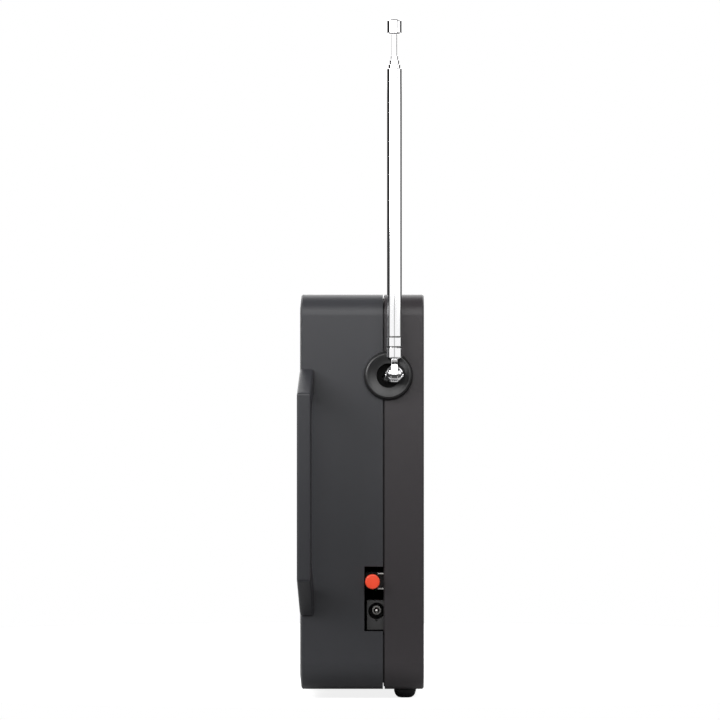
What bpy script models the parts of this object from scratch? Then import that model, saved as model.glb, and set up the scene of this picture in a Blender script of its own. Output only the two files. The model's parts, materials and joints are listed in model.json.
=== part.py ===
"""Tabletop radio: a two-shell cabinet with a grip at each end and a folding antenna on the left end.

It has a slide-rule dial driven by a thumbwheel and a cord drum, a loudspeaker, a power button, sockets
and a battery bay.

Metres, +Z up. The front faces -Y and the antenna stands at the -X end. The origin is the middle of the
bounding box on the table. "Depth" below is always the distance behind the front face.
"""

import math

import bmesh
import bpy
from mathutils import Matrix, Vector

MM = 0.001

# ---------------------------------------------------------------- driving dimensions
BODY_WIDTH = 236 * MM
BODY_HEIGHT = 147 * MM
BODY_DEPTH = 46 * MM
TOP_RADIUS = 8.0 * MM
BOTTOM_RADIUS = 10.4 * MM
RIM_CHAMFER = 0.5 * MM
REAR_RIM_WIDTH = 5 * MM
REAR_RIM_DROP = 0.5 * MM
WALL = 2.0 * MM
FRONT_WALL = 2.6 * MM
BACK_WALL = 2.4 * MM
FRONT_SHELL_DEPTH = 14.5 * MM
SEAM_GAP = 0.7 * MM
SEAM_LEDGE = 1.0 * MM
LIP_REACH = 2.0 * MM
LIP_THICKNESS = 1.0 * MM
LIP_ROOT = 2.0 * MM
GAP = 0.3 * MM
RUNNING = 0.15 * MM
SUNK = 0.5 * MM
NUDGE = 0.1 * MM

FOOT_HEIGHT = 3.4 * MM
FOOT_RADIUS = 4.1 * MM
FOOT_FLAT_RADIUS = 1.8 * MM
FOOT_DEPTH = 6.9 * MM
FOOT_INSET = 15.5 * MM
FOOT_STEM_RADIUS = 1.6 * MM
FOOT_BARB = (0.7 * MM, 1.4 * MM)

GRIP_HEIGHT = 18 * MM
GRIP_BAR = 5 * MM
GRIP_WIDTH = 5.2 * MM
GRIP_PROUD = 1.0 * MM
GRIP_LENGTH = 92 * MM
GRIP_TOP_SLOPE = 9.1 * MM
GRIP_BOTTOM_SLOPE = 13.8 * MM
GRIP_FOOT = 8.5 * MM
GRIP_LOWER_FOOT = 10.5 * MM
GRIP_BEVEL = 0.8 * MM
GRIP_PEG_RADIUS = 1.0 * MM
GRIP_PEG_INSET = 1.5 * MM
GRIP_PEG_ENDS = (1.0 * MM, 2.0 * MM)

MARGIN = 12 * MM
GRILLE_HEIGHT = 86 * MM
GRILLE_BOTTOM = 10.6 * MM
GRILLE_THICKNESS = 1.0 * MM
GRILLE_CORNER = 5 * MM
PANEL_RECESS = 1.3 * MM
PLATE_SETBACK = 0.2 * MM
PANEL_CORNER = 2 * MM

SPEAKER_X = -38 * MM
SPEAKER_RISE = 43 * MM
SPEAKER_RADIUS = 38.5 * MM
SPEAKER_HOLE_RADIUS = 34 * MM
SPEAKER_DEPTH = 14 * MM
MAGNET_RADIUS = 18 * MM
MAGNET_LENGTH = 10 * MM
FRAME_FLANGE = 4 * MM
FRAME_SHEET = 1.2 * MM
FRAME_LEAN = 1 * MM
FRAME_DRAW = 5 * MM
FRAME_NECK = (11 * MM, 16 * MM)
CONE_SETBACK = 0.4 * MM
CONE_PAPER = 0.6 * MM
CONE_BEFORE_THROAT = 5 * MM
SURROUND_WIDTH = 4 * MM
SURROUND_RISE = 0.3 * MM
DUST_CAP = (8 * MM, 3 * MM)

LENS_WIDTH = 168 * MM
LENS_HEIGHT = 32 * MM
LENS_BELOW_TOP = 10.4 * MM
LENS_THICKNESS = 1.1 * MM
WINDOW_LEDGE = 2 * MM
WINDOW_CORNER = 1.5 * MM
POINTER_DEPTH = 3.3 * MM
POINTER_THICKNESS = 0.8 * MM
POINTER_WIDTH = 1.2 * MM
POINTER_FOOT = 1.0 * MM
CLIP_SHEET = 1.0 * MM
CLIP_WIDTH = 6 * MM
CLIP_DROP = 6 * MM
SCALE_DEPTH = 4.6 * MM
SCALE_THICKNESS = 0.8 * MM
CHASSIS_DEPTH = 6.0 * MM
CHASSIS_THICKNESS = 1.2 * MM
CHASSIS_DROP = 3 * MM
CHASSIS_PEG_RADIUS = 1.6 * MM
CHASSIS_PEG_INSET = (4 * MM, 5 * MM)
CHASSIS_PEG_END = 13 * MM
POST_RADIUS = 2.0 * MM
POST_CLEARANCE = 1.1 * MM

SWITCH_SIDE = 97 * MM
SWITCH_RECESS = (15 * MM, 7 * MM, 1.5 * MM)
SWITCH_SLOT = (9 * MM, 2.4 * MM)
SWITCH_KNOB = (6 * MM, 5 * MM, 1.1 * MM)
SWITCH_STEM = 1.8 * MM
SWITCH_CORNERS = (1.2 * MM, 0.8 * MM)
SWITCH_BODY = (12 * MM, 6 * MM, 4.5 * MM)
SWITCH_BODY_DEPTH = 5.4 * MM
LED_RADIUS = 1.5 * MM
LED_DOME = 0.8 * MM
LED_FLANGE = 0.4 * MM
LED_FLANGE_DEPTHS = (4.5 * MM, 5.5 * MM)

WHEEL_RADIUS = 20 * MM
WHEEL_THICKNESS = 5 * MM
WHEEL_PROUD = 4.0 * MM
WHEEL_DEPTH = 4.0 * MM
WHEEL_HEIGHT = 76.6 * MM
WHEEL_TEETH = 48
TOOTH_SHARES = (0.35, 0.5, 0.85)
TOOTH_FLOOR = 0.975
SPINDLE_PULLEY_RADIUS = 7.64 * MM
PULLEY_WIDTH = 3 * MM
PULLEY_GROOVE = 1.0 * MM
PULLEY_LIP = 0.6 * MM
AXLE_RADIUS = 2 * MM
AXLE_PAST = 2 * MM
DRUM_RADIUS = 25 * MM
DRUM_FROM_END = 58 * MM
HUB_RADIUS = 3 * MM
HUB_RISE = 1.0 * MM
DRUM_HOLES = 4
DRUM_HOLE_RADIUS = 5 * MM
DRUM_HOLE_PLACE = 14 * MM
VOLUME_RADIUS = 14 * MM
VOLUME_THICKNESS = 4 * MM
VOLUME_PROUD = 3.5 * MM
VOLUME_HEIGHT = 36.6 * MM
VOLUME_TEETH = 34
POT_RADIUS = 6.6 * MM

BOARD_DEPTH = 17 * MM
BOARD_THICKNESS = 1.6 * MM
BOARD_LEFT = 24 * MM
BOARD_HEIGHTS = (16.6 * MM, 99.6 * MM)
BOARD_EDGE_GAP = 1.0 * MM
BOARD_HOLE_RADIUS = 1.2 * MM
BOARD_BOSS_RADIUS = 3 * MM
BOARD_BOSS_INSET = 4 * MM
BOARD_BOSS_HEIGHTS = (22.6 * MM, 94.6 * MM, 20.6 * MM)
BOARD_SCREW = (0.85 * MM, 6 * MM)
BOARD_SCREW_HEAD = (2 * MM, 1.2 * MM)
DRUM_CLEARANCE = 1.0 * MM
CAPACITOR = (25 * MM, 13 * MM, 25 * MM)

POWER_BOARD_DEPTH = 10.4 * MM
POWER_BOARD_WIDTH = 20 * MM
POWER_BOARD_MARGINS = (5 * MM, 8 * MM)
POWER_POST_RADIUS = 2.5 * MM
POWER_POST_INSET = 21 * MM
POWER_POST_HEIGHTS = (22.6 * MM, 50.6 * MM)
POWER_BODY_INSET = 6 * MM
POWER_BODY_LENGTH = 12 * MM
POWER_BODY_HALF = 3.2 * MM
POWER_BODY_BEHIND = 2.6 * MM
POWER_SOCKET_LENGTH = 6 * MM
POWER_FRAME_SHEET = 0.5 * MM
POWER_FRAME_ARM = 3.05 * MM
POWER_FRAME_DEPTH = 17.2 * MM
CUTOUT_DEPTH = 22.1 * MM
CUTOUT_BOTTOM = 22.0 * MM
CUTOUT_HEIGHT = 24.0 * MM
BUTTON_RADIUS = 2.7 * MM
BUTTON_DEPTH = 19.1 * MM
BUTTON_ABOVE = 18.5 * MM
BUTTON_PROUD = 3.8 * MM
BUTTON_LENGTH = 4.3 * MM
BUTTON_EDGE = 0.45 * MM
BUTTON_STEM = 2.4 * MM
BUTTON_STEM_IN = 1.5 * MM
JACK_SIZE = (14 * MM, 8.9 * MM, 11.0 * MM)
JACK_ABOVE = 0.4 * MM
JACK_HOLE_RADIUS = 3.1 * MM
JACK_HOLE_ABOVE = 7.4 * MM
JACK_HOLE_DEPTH = 17.55 * MM
JACK_HOLE_LENGTH = 10 * MM
JACK_KEYWAY = (0.4 * MM, 0.7 * MM, 6 * MM)
JACK_PIN_RADIUS = 1.05 * MM
JACK_PIN_SETBACK = 1.2 * MM
JACK_PIN_TIP = (0.5 * MM, 0.8 * MM)
JACK_PIN_COLLAR = (1.65 * MM, 1.5 * MM)
HEADPHONE_DEPTH = 23 * MM
HEADPHONE_HEIGHT = 26 * MM
HEADPHONE_BARREL_RADIUS = 3.2 * MM
HEADPHONE_BORE_RADIUS = 1.85 * MM
HEADPHONE_BORE_LENGTH = 9 * MM
HEADPHONE_SETBACK = 1.2 * MM
HEADPHONE_BLOCK = (11 * MM, 8 * MM)

TURRET_DEPTH = 13.2 * MM
TURRET_HEIGHT = 116.9 * MM
TURRET_BASE_RADIUS = 9.1 * MM
TURRET_RIM_RADIUS = 8.65 * MM
TURRET_THICKNESS = 2.4 * MM
TURRET_DISH = 0.9 * MM
TURRET_HOLE_RADIUS = 4.4 * MM
TURRET_NECK_RADIUS = 6.5 * MM
TURRET_RIM_FLAT = (1.3 * MM, 0.9 * MM, 0.4 * MM)
TURRET_RIM_ROUND = 0.1 * MM
TURRET_RIM_EDGE = 0.5 * MM
TURRET_SKIRT = 0.8 * MM
RETAINER_OVERLAP = 1.9 * MM
RETAINER_SHEET = 1.0 * MM
RETAINER_BOSS = (2.6 * MM, 2.6 * MM)

ELBOW_DEPTH = 11.0 * MM
ELBOW_HEIGHT = 117.5 * MM
ELBOW_PROUD = 6.4 * MM
CLEVIS_RADIUS = 3.3 * MM
CLEVIS_BASE = 3.2 * MM
CLEVIS_EDGE = 0.4 * MM
SHANK_RADIUS = 1.8 * MM
SHANK_SUNK = 1.0 * MM
SHANK_FOOT = (1.3 * MM, 1.0 * MM, -1.2 * MM)
FORK_SLOT = 2.7 * MM
TONGUE_THICKNESS = 2.2 * MM
TONGUE_WIDTH = 4.4 * MM
TONGUE_EYE = 2.6 * MM
FORK_FLOOR = 0.2 * MM
ELBOW_PIN_RADIUS = 0.95 * MM
ELBOW_PIN_SETBACK = 0.25 * MM
FERRULE_RADIUS = 2.95 * MM
FERRULE_START = 6.0 * MM
FERRULE_LENGTH = 7.8 * MM
FERRULE_CONE = 1.2 * MM
FERRULE_GROOVE = 0.25 * MM
FERRULE_EDGES = (0.2 * MM, 0.35 * MM)
SPIGOT_LENGTH = 4 * MM
TUBE_LENGTH = 99.1 * MM
TUBE_RADII = (2.75 * MM, 2.175 * MM, 1.75 * MM, 1.35 * MM)
TUBE_WALLS = (0.375 * MM, 0.275 * MM, 0.275 * MM, 0.25 * MM)
TUBE_STEP = 1.6 * MM
TUBE_START = 0.2 * MM
TUBE_NEST = (4.5 * MM, 1.0 * MM)
TUBE_LIP = ((0.15 * MM, 0.1 * MM), (0.25 * MM, 0.7 * MM))
ROD_RADIUS = 0.975 * MM
ROD_SHOWING = 7.8 * MM
ROD_IN_TIP = 2.7 * MM
TIP_RADIUS = 2.7 * MM
TIP_LENGTH = 5.7 * MM
TIP_EDGE = 0.8 * MM
TIP_BORE = 3 * MM

BAY_WIDTH = 108 * MM
BAY_HEIGHT = 34 * MM
BAY_DEPTH = 18 * MM
BAY_X = 38 * MM
BAY_BOTTOM = 10.5 * MM
BAY_WALL = 1.5 * MM
DOOR_OVERLAP = 3.5 * MM
DOOR_THICKNESS = 1.4 * MM
DOOR_NOTCH_RADIUS = 7 * MM
DOOR_NOTCH_DEPTH = 1.2 * MM
CONTACT_SHEET = 0.4 * MM
CONTACT_MARGIN = 2 * MM
CONTACT_STUD = (2.5 * MM, 1.2 * MM)
SPRING_WIRE = 0.45 * MM
SPRING_RADII = (4.6 * MM, 2.4 * MM)
SPRING_LENGTH = 6 * MM
SPRING_TURNS = 3
SPRING_SIDES = 5
SPRING_STEPS = 10

SCREW_INSET = (13.5 * MM, 12.5 * MM, 8.0 * MM)
BOSS_RADIUS = 4.0 * MM
FRONT_BOSS_RADIUS = 3.5 * MM
BOSS_MEETING = 18.6 * MM
PILOT_RADIUS = 1.0 * MM
PILOT_END = 20 * MM
CASE_PILOT_START = 6 * MM
BOARD_PILOT_START = 8 * MM
POWER_PILOT_START = 4 * MM
SCREW_RADIUS = 1.35 * MM
SCREW_TIP_DEPTH = 9 * MM
SCREW_HEAD_RADIUS = 2.8 * MM
SCREW_HEAD_HEIGHT = 1.8 * MM
SCREW_HEAD_EDGE = (0.8 * MM, 0.6 * MM)
SCREW_WELL = 6.0 * MM

ROD_HEIGHT_BELOW_TOP = 22 * MM
FERRITE_RADIUS = 5 * MM
FERRITE_LENGTH = 100 * MM
FERRITE_DEPTH = 30 * MM
FERRITE_X = -10 * MM
COIL_THICKNESS = 1.2 * MM
COIL_SPAN = (-18 * MM, 10 * MM)
HOLDER_MARGIN = 2.5 * MM
HOLDER_INSET = 6 * MM
HOLDER_SHEET = 1.6 * MM
HOLDER_UPRIGHT = 4 * MM

# ---------------------------------------------------------------- places worked out from them
Y_FRONT = -(BODY_DEPTH + GRIP_PROUD) / 2
Y_REAR = Y_FRONT + BODY_DEPTH
X_END = BODY_WIDTH / 2
DRUM_X = X_END - DRUM_FROM_END
Z_BOTTOM = FOOT_HEIGHT
Z_TOP = Z_BOTTOM + BODY_HEIGHT

FINE_ROUND = 40
ROUND = 28
MID_ROUND = 24
SMALL_ROUND = 16
TINY_ROUND = 12
CORNER_STEPS = 8
SMALL_CORNER_STEPS = 4
FOOT_STEPS = 5
CLEVIS_STEPS = 7
EYE_STEPS = 14
BEVEL_STEPS = 2
BEVEL_ANGLE = math.radians(40)
SOFT_ANGLE = 60

COLOURS = {
    "satin_black_plastic": ((0.075, 0.075, 0.08, 1), 0.42, 0.0),
    "warm_black_plastic": ((0.07, 0.065, 0.066, 1), 0.42, 0.0),
    "gloss_black_plastic": ((0.02, 0.02, 0.022, 1), 0.2, 0.0),
    "inner_black_plastic": ((0.015, 0.015, 0.016, 1), 0.6, 0.0),
    "jack_plastic": ((0.045, 0.045, 0.045, 1), 0.5, 0.0),
    "black_rubber": ((0.012, 0.012, 0.012, 1), 0.7, 0.0),
    "chrome": ((0.9, 0.9, 0.92, 1), 0.08, 1.0),
    "steel": ((0.62, 0.62, 0.6, 1), 0.3, 1.0),
    "copper": ((0.72, 0.35, 0.18, 1), 0.35, 1.0),
    "red_plastic": ((0.9, 0.1, 0.045, 1), 0.35, 0.0),
    "grille_metal": ((0.1, 0.1, 0.105, 1), 0.45, 0.8),
    "clear_acrylic": ((0.9, 0.95, 0.95, 0.25), 0.05, 0.0),
    "dial_ivory": ((0.8, 0.76, 0.62, 1), 0.6, 0.0),
    "pointer_red": ((0.85, 0.06, 0.03, 1), 0.4, 0.0),
    "paper_cone": ((0.05, 0.05, 0.052, 1), 0.9, 0.0),
    "board_green": ((0.02, 0.14, 0.06, 1), 0.5, 0.0),
    "ferrite": ((0.05, 0.045, 0.045, 1), 0.7, 0.0),
    "white_plastic": ((0.75, 0.75, 0.72, 1), 0.5, 0.0),
}


def depth(distance):
    """World Y of a point this far behind the front face."""
    return Y_FRONT + distance


def height(distance):
    """World Z of a point this far above the cabinet's underside."""
    return Z_BOTTOM + distance


# ---------------------------------------------------------------- modelling tools
def clear_scene():
    for found in list(bpy.data.objects):
        bpy.data.objects.remove(found, do_unlink=True)


def material(name):
    found = bpy.data.materials.get(name)
    if found:
        return found
    colour, roughness, metallic = COLOURS[name]
    made = bpy.data.materials.new(name)
    made.use_nodes = True
    shader = made.node_tree.nodes["Principled BSDF"]
    shader.inputs["Base Color"].default_value = colour
    shader.inputs["Roughness"].default_value = roughness
    shader.inputs["Metallic"].default_value = metallic
    shader.inputs["Alpha"].default_value = colour[3]
    return made


def finish(bm, name, slot=None, pivot=None, parent=None):
    """Turns bm into an object. With no slot it is a helper that isn't rendered: a cutter or an addition."""
    bmesh.ops.remove_doubles(bm, verts=bm.verts, dist=1e-7)
    bmesh.ops.recalc_face_normals(bm, faces=bm.faces)
    if bm.calc_volume(signed=True) < 0:
        bmesh.ops.reverse_faces(bm, faces=bm.faces)
    mesh = bpy.data.meshes.new(name)
    bm.to_mesh(mesh)
    bm.free()
    made = bpy.data.objects.new(name, mesh)
    bpy.context.scene.collection.objects.link(made)
    if slot is None:
        made.hide_render = True
        made.display_type = "WIRE"
        return made
    mesh.materials.append(material(slot))
    place_origin(made, pivot, parent)
    return made


def place_origin(made, pivot, parent):
    """Moves the object's origin to its joint's axis, and hangs it on the piece or empty that carries it."""
    origin = Vector(pivot) if pivot else Vector()
    made.data.transform(Matrix.Translation(-origin))
    made.location = origin
    if parent:
        carrier = Vector(parent["world"])
        made.parent = parent
        made.location = origin - carrier
    made["world"] = origin


def empty(name, place, parent=None):
    made = bpy.data.objects.new(name, None)
    bpy.context.scene.collection.objects.link(made)
    made.empty_display_size = 8 * MM
    made.location = Vector(place) - (Vector(parent["world"]) if parent else Vector())
    made.parent = parent
    made["world"] = Vector(place)
    return made


def box(low, high, bm=None):
    """A block between two corners."""
    bm = bm or bmesh.new()
    middle = [(a + b) / 2 for a, b in zip(low, high)]
    size = [b - a for a, b in zip(low, high)]
    bmesh.ops.create_cube(bm, size=1, matrix=Matrix.Translation(middle) @ Matrix.Diagonal((*size, 1)))
    return bm


AXIS_FRAMES = {
    "X": Matrix(((0, 0, 1), (1, 0, 0), (0, 1, 0))),
    "Y": Matrix(((0, 1, 0), (0, 0, 1), (1, 0, 0))),
    "Z": Matrix.Identity(3),
}


def turned(profile, axis, centre, steps=ROUND, closed=False, bm=None):
    """Spins a profile of (radius, place along the axis) round an axis through centre.

    An open profile starts and ends on the axis. A closed one makes a ring.
    """
    bm = bm or bmesh.new()
    frame = AXIS_FRAMES[axis]
    points = [bm.verts.new(frame @ Vector((radius, 0, along)) + Vector(centre)) for radius, along in profile]
    edges = [bm.edges.new(pair) for pair in zip(points, points[1:])]
    if closed:
        edges.append(bm.edges.new((points[-1], points[0])))
    bmesh.ops.spin(
        bm,
        geom=points + edges,
        cent=centre,
        axis=frame @ Vector((0, 0, 1)),
        angle=2 * math.pi,
        steps=steps,
        use_merge=True,
    )
    return bm


def rod(radius, axis, centre, low, high, steps=SMALL_ROUND, bm=None):
    """A plain cylinder from low to high along the axis, which passes through centre."""
    return turned([(0, low), (radius, low), (radius, high), (0, high)], axis, centre, steps, bm=bm)


def ring(inner, outer, axis, centre, low, high, steps=ROUND, bm=None):
    profile = [(inner, low), (outer, low), (outer, high), (inner, high)]
    return turned(profile, axis, centre, steps, closed=True, bm=bm)


def corner_arc(centre, radius, start, steps=CORNER_STEPS):
    """A quarter circle in (x, z), counter-clockwise from the start angle."""
    turn = math.pi / 2 / steps
    return [
        (centre[0] + radius * math.cos(start + k * turn), centre[1] + radius * math.sin(start + k * turn))
        for k in range(steps + 1)
    ]


def rounded(low, high, lower_radius, upper_radius=None, steps=CORNER_STEPS):
    """The outline of a rectangle from low to high with round corners."""
    upper_radius = lower_radius if upper_radius is None else upper_radius
    corners = (
        ((high[0] - lower_radius, low[1] + lower_radius), lower_radius, -math.pi / 2),
        ((high[0] - upper_radius, high[1] - upper_radius), upper_radius, 0),
        ((low[0] + upper_radius, high[1] - upper_radius), upper_radius, math.pi / 2),
        ((low[0] + lower_radius, low[1] + lower_radius), lower_radius, math.pi),
    )
    return [point for centre, radius, start in corners for point in corner_arc(centre, radius, start, steps)]


def slab(outline, near, far, bm=None):
    """An outline in (x, z), made solid from Y near to Y far."""
    bm = bm or bmesh.new()
    face = bm.faces.new([bm.verts.new((x, near, z)) for x, z in outline])
    moved = bmesh.ops.extrude_face_region(bm, geom=[face])["geom"]
    bmesh.ops.translate(
        bm, vec=(0, far - near, 0), verts=[v for v in moved if isinstance(v, bmesh.types.BMVert)]
    )
    return bm


def body_outline(inset):
    """The cabinet's outline seen from the front, drawn in by inset."""
    return rounded(
        (-X_END + inset, Z_BOTTOM + inset),
        (X_END - inset, Z_TOP - inset),
        BOTTOM_RADIUS - inset,
        TOP_RADIUS - inset,
    )


def tray(profile):
    """Carries the cabinet's outline through (inset, world Y) stations, with a panel at both ends."""
    bm = bmesh.new()
    loops = [[bm.verts.new((x, y, z)) for x, z in body_outline(inset)] for inset, y in profile]
    for first, second in zip(loops, loops[1:]):
        for k, corner in enumerate(first):
            after = (k + 1) % len(first)
            bm.faces.new((corner, first[after], second[after], second[k]))
    bm.faces.new(loops[0])
    bm.faces.new(loops[-1])
    return bm


def combine(target, helpers, operation):
    """Adds a collection of helper solids to the target, or cuts them from it."""
    group = bpy.data.collections.new(f"{target.name}_{operation.lower()}")
    for helper in helpers:
        group.objects.link(helper)
    modifier = target.modifiers.new(group.name, "BOOLEAN")
    modifier.operation = operation
    modifier.solver = "EXACT"
    modifier.operand_type = "COLLECTION"
    modifier.collection = group


def add_to(target, *solids):
    combine(target, [finish(bm, f"{target.name}_addition_{k}") for k, bm in enumerate(solids)], "UNION")


def cut_from(target, *solids):
    combine(target, [finish(bm, f"{target.name}_cutter_{k}") for k, bm in enumerate(solids)], "DIFFERENCE")


def smooth(made, angle=35):
    made.data.shade_smooth()
    made.data.set_sharp_from_angle(angle=math.radians(angle))
    return made


# ---------------------------------------------------------------- cabinet
def screw_places():
    """Front view (x, z) of the four case screws."""
    side, low, high = SCREW_INSET
    return [(sign * (X_END - side), z) for sign in (-1, 1) for z in (Z_BOTTOM + low, Z_TOP - high)]


GRILLE_LOW = (-X_END + MARGIN, height(GRILLE_BOTTOM))
GRILLE_HIGH = (X_END - MARGIN, height(GRILLE_BOTTOM + GRILLE_HEIGHT))
LENS_LOW = (-LENS_WIDTH / 2, Z_TOP - LENS_BELOW_TOP - LENS_HEIGHT)
LENS_HIGH = (LENS_WIDTH / 2, Z_TOP - LENS_BELOW_TOP)
DIAL_MIDDLE = (LENS_LOW[1] + LENS_HIGH[1]) / 2
SPEAKER = (SPEAKER_X, 0, height(GRILLE_BOTTOM) + SPEAKER_RISE)
WHEEL_CENTRE = (X_END + WHEEL_PROUD - WHEEL_RADIUS, 0, height(WHEEL_HEIGHT))
VOLUME_CENTRE = (X_END + VOLUME_PROUD - VOLUME_RADIUS, 0, height(VOLUME_HEIGHT))
CUTOUT_LOW_Z = height(CUTOUT_BOTTOM)
CUTOUT_HIGH_Z = height(CUTOUT_BOTTOM + CUTOUT_HEIGHT)
TURRET = (-X_END, depth(TURRET_DEPTH), height(TURRET_HEIGHT))
ELBOW = (-X_END - ELBOW_PROUD, depth(ELBOW_DEPTH), height(ELBOW_HEIGHT))
FOOT_PLACES = [(sign * (X_END - FOOT_INSET), depth(FOOT_DEPTH), 0) for sign in (-1, 1)]
POST_X = LENS_WIDTH / 2 + POST_RADIUS + POST_CLEARANCE
BOARD_BOSSES = (
    (BOARD_LEFT + BOARD_BOSS_INSET, height(BOARD_BOSS_HEIGHTS[0])),
    (BOARD_LEFT + BOARD_BOSS_INSET, height(BOARD_BOSS_HEIGHTS[1])),
    (DRUM_X + DRUM_RADIUS + DRUM_CLEARANCE, height(BOARD_BOSS_HEIGHTS[2])),
)
POWER_BOARD_POSTS = [(-X_END + POWER_POST_INSET, height(level)) for level in POWER_POST_HEIGHTS]
HEADPHONE = (X_END, depth(HEADPHONE_DEPTH), height(HEADPHONE_HEIGHT))


def wheel_slot(centre, radius, near, thickness):
    """The block that opens the end wall for a thumbwheel."""
    chord = math.sqrt(radius**2 - (X_END - WALL - centre[0]) ** 2) + 2 * GAP
    return box(
        (X_END - 2 * WALL, depth(near) - GAP, centre[2] - chord),
        (X_END + WALL, depth(near) + thickness + GAP, centre[2] + chord),
    )


def turret_hole():
    return rod(TURRET_NECK_RADIUS + GAP, "X", TURRET, -WALL, 3 * WALL + LIP_THICKNESS, ROUND)


def grip_top():
    return Z_BOTTOM + BODY_HEIGHT / 2 + GRIP_LENGTH / 2


def grip_pegs(side, radius, start, end):
    """The two pegs of one grip, or the holes for them, as rods from start to end outwards of the end wall."""
    y = Y_REAR - GRIP_WIDTH + GRIP_PEG_INSET
    heights = (grip_top() - GRIP_FOOT / 2, grip_top() - GRIP_LENGTH + GRIP_LOWER_FOOT / 2)
    span = sorted((side * start, side * end))
    return [rod(radius, "X", (side * X_END, y, z), *span, TINY_ROUND) for z in heights]


def posts(places, radius, near, far, steps=TINY_ROUND):
    """Upright rods along Y at front-view (x, z) places: bosses, or the holes in them."""
    return [rod(radius, "Y", (x, 0, z), near, far, steps) for x, z in places]


def front_shell():
    rear_edge = depth(FRONT_SHELL_DEPTH)
    lip_outer = WALL + GAP
    lip_inner = lip_outer + LIP_THICKNESS
    lip_end = rear_edge + SEAM_GAP + LIP_REACH
    ledge_end = rear_edge + SEAM_GAP - GAP
    shell = finish(
        tray(
            [
                (RIM_CHAMFER, Y_FRONT),
                (0, Y_FRONT + RIM_CHAMFER),
                (0, rear_edge),
                (SEAM_LEDGE, rear_edge),
                (SEAM_LEDGE, ledge_end),
                (lip_outer, ledge_end),
                (lip_outer, lip_end),
                (lip_inner, lip_end),
                (lip_inner, rear_edge - LIP_ROOT),
                (WALL, rear_edge - LIP_ROOT - (lip_inner - WALL)),
                (WALL, depth(FRONT_WALL)),
            ]
        ),
        "front_shell",
        "warm_black_plastic",
    )
    inside = depth(FRONT_WALL - SUNK)
    chassis_posts = [(side * POST_X, DIAL_MIDDLE) for side in (-1, 1)]
    add_to(
        shell,
        *posts(screw_places(), FRONT_BOSS_RADIUS, inside, depth(BOSS_MEETING), SMALL_ROUND),
        *posts(BOARD_BOSSES, BOARD_BOSS_RADIUS, inside, depth(BOARD_DEPTH) - GAP, SMALL_ROUND),
        *posts(POWER_BOARD_POSTS, POWER_POST_RADIUS, inside, depth(POWER_BOARD_DEPTH) - GAP),
        *posts(chassis_posts, POST_RADIUS, inside, depth(CHASSIS_DEPTH) - GAP),
    )

    front = Y_FRONT - WALL
    recess = depth(PANEL_RECESS)
    through = depth(FRONT_WALL + WALL)
    ledge = WINDOW_LEDGE
    window_low = (LENS_LOW[0] + ledge, LENS_LOW[1] + ledge)
    window_high = (LENS_HIGH[0] - ledge, LENS_HIGH[1] - ledge)
    cut_from(
        shell,
        slab(rounded(GRILLE_LOW, GRILLE_HIGH, GRILLE_CORNER), front, recess),
        rod(SPEAKER_HOLE_RADIUS, "Y", SPEAKER, front, through, FINE_ROUND),
        slab(rounded(LENS_LOW, LENS_HIGH, PANEL_CORNER, steps=SMALL_CORNER_STEPS), front, recess),
        slab(rounded(window_low, window_high, WINDOW_CORNER, steps=SMALL_CORNER_STEPS), front, through),
        switch_recess(front),
        box(
            (SWITCH_SIDE - SWITCH_SLOT[0] / 2, front, DIAL_MIDDLE - SWITCH_SLOT[1] / 2),
            (SWITCH_SIDE + SWITCH_SLOT[0] / 2, through, DIAL_MIDDLE + SWITCH_SLOT[1] / 2),
        ),
        rod(LED_RADIUS + GAP, "Y", (-SWITCH_SIDE, 0, DIAL_MIDDLE), front, through),
        *posts(screw_places(), SCREW_RADIUS, depth(CASE_PILOT_START), depth(PILOT_END)),
        *posts(BOARD_BOSSES, PILOT_RADIUS, depth(BOARD_PILOT_START), depth(PILOT_END)),
        *posts(POWER_BOARD_POSTS, PILOT_RADIUS, depth(POWER_PILOT_START), depth(PILOT_END)),
        *[
            rod(FOOT_STEM_RADIUS + GAP, "Z", place, Z_BOTTOM - WALL, Z_BOTTOM + 2 * WALL)
            for place in FOOT_PLACES
        ],
    )
    cut_from(
        shell,
        wheel_slot(WHEEL_CENTRE, WHEEL_RADIUS, WHEEL_DEPTH, WHEEL_THICKNESS),
        wheel_slot(VOLUME_CENTRE, VOLUME_RADIUS, WHEEL_DEPTH, VOLUME_THICKNESS),
        turret_hole(),
        box(
            (-X_END + WALL + GAP / 2, rear_edge - LIP_ROOT - WALL, CUTOUT_LOW_Z - WALL),
            (-X_END + 3 * WALL, lip_end + WALL, CUTOUT_HIGH_Z + WALL),
        ),
    )
    return smooth(shell)


def switch_recess(front):
    wide, tall, deep = SWITCH_RECESS
    low = (SWITCH_SIDE - wide / 2, DIAL_MIDDLE - tall / 2)
    high = (SWITCH_SIDE + wide / 2, DIAL_MIDDLE + tall / 2)
    return slab(rounded(low, high, SWITCH_CORNERS[0], steps=SMALL_CORNER_STEPS), front, depth(deep))


BAY_LOW = (BAY_X - BAY_WIDTH / 2, height(BAY_BOTTOM))
BAY_HIGH = (BAY_X + BAY_WIDTH / 2, height(BAY_BOTTOM + BAY_HEIGHT))
DOOR_LOW = (BAY_LOW[0] - DOOR_OVERLAP, BAY_LOW[1] - DOOR_OVERLAP)
DOOR_HIGH = (BAY_HIGH[0] + DOOR_OVERLAP, BAY_HIGH[1] + DOOR_OVERLAP)


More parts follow.
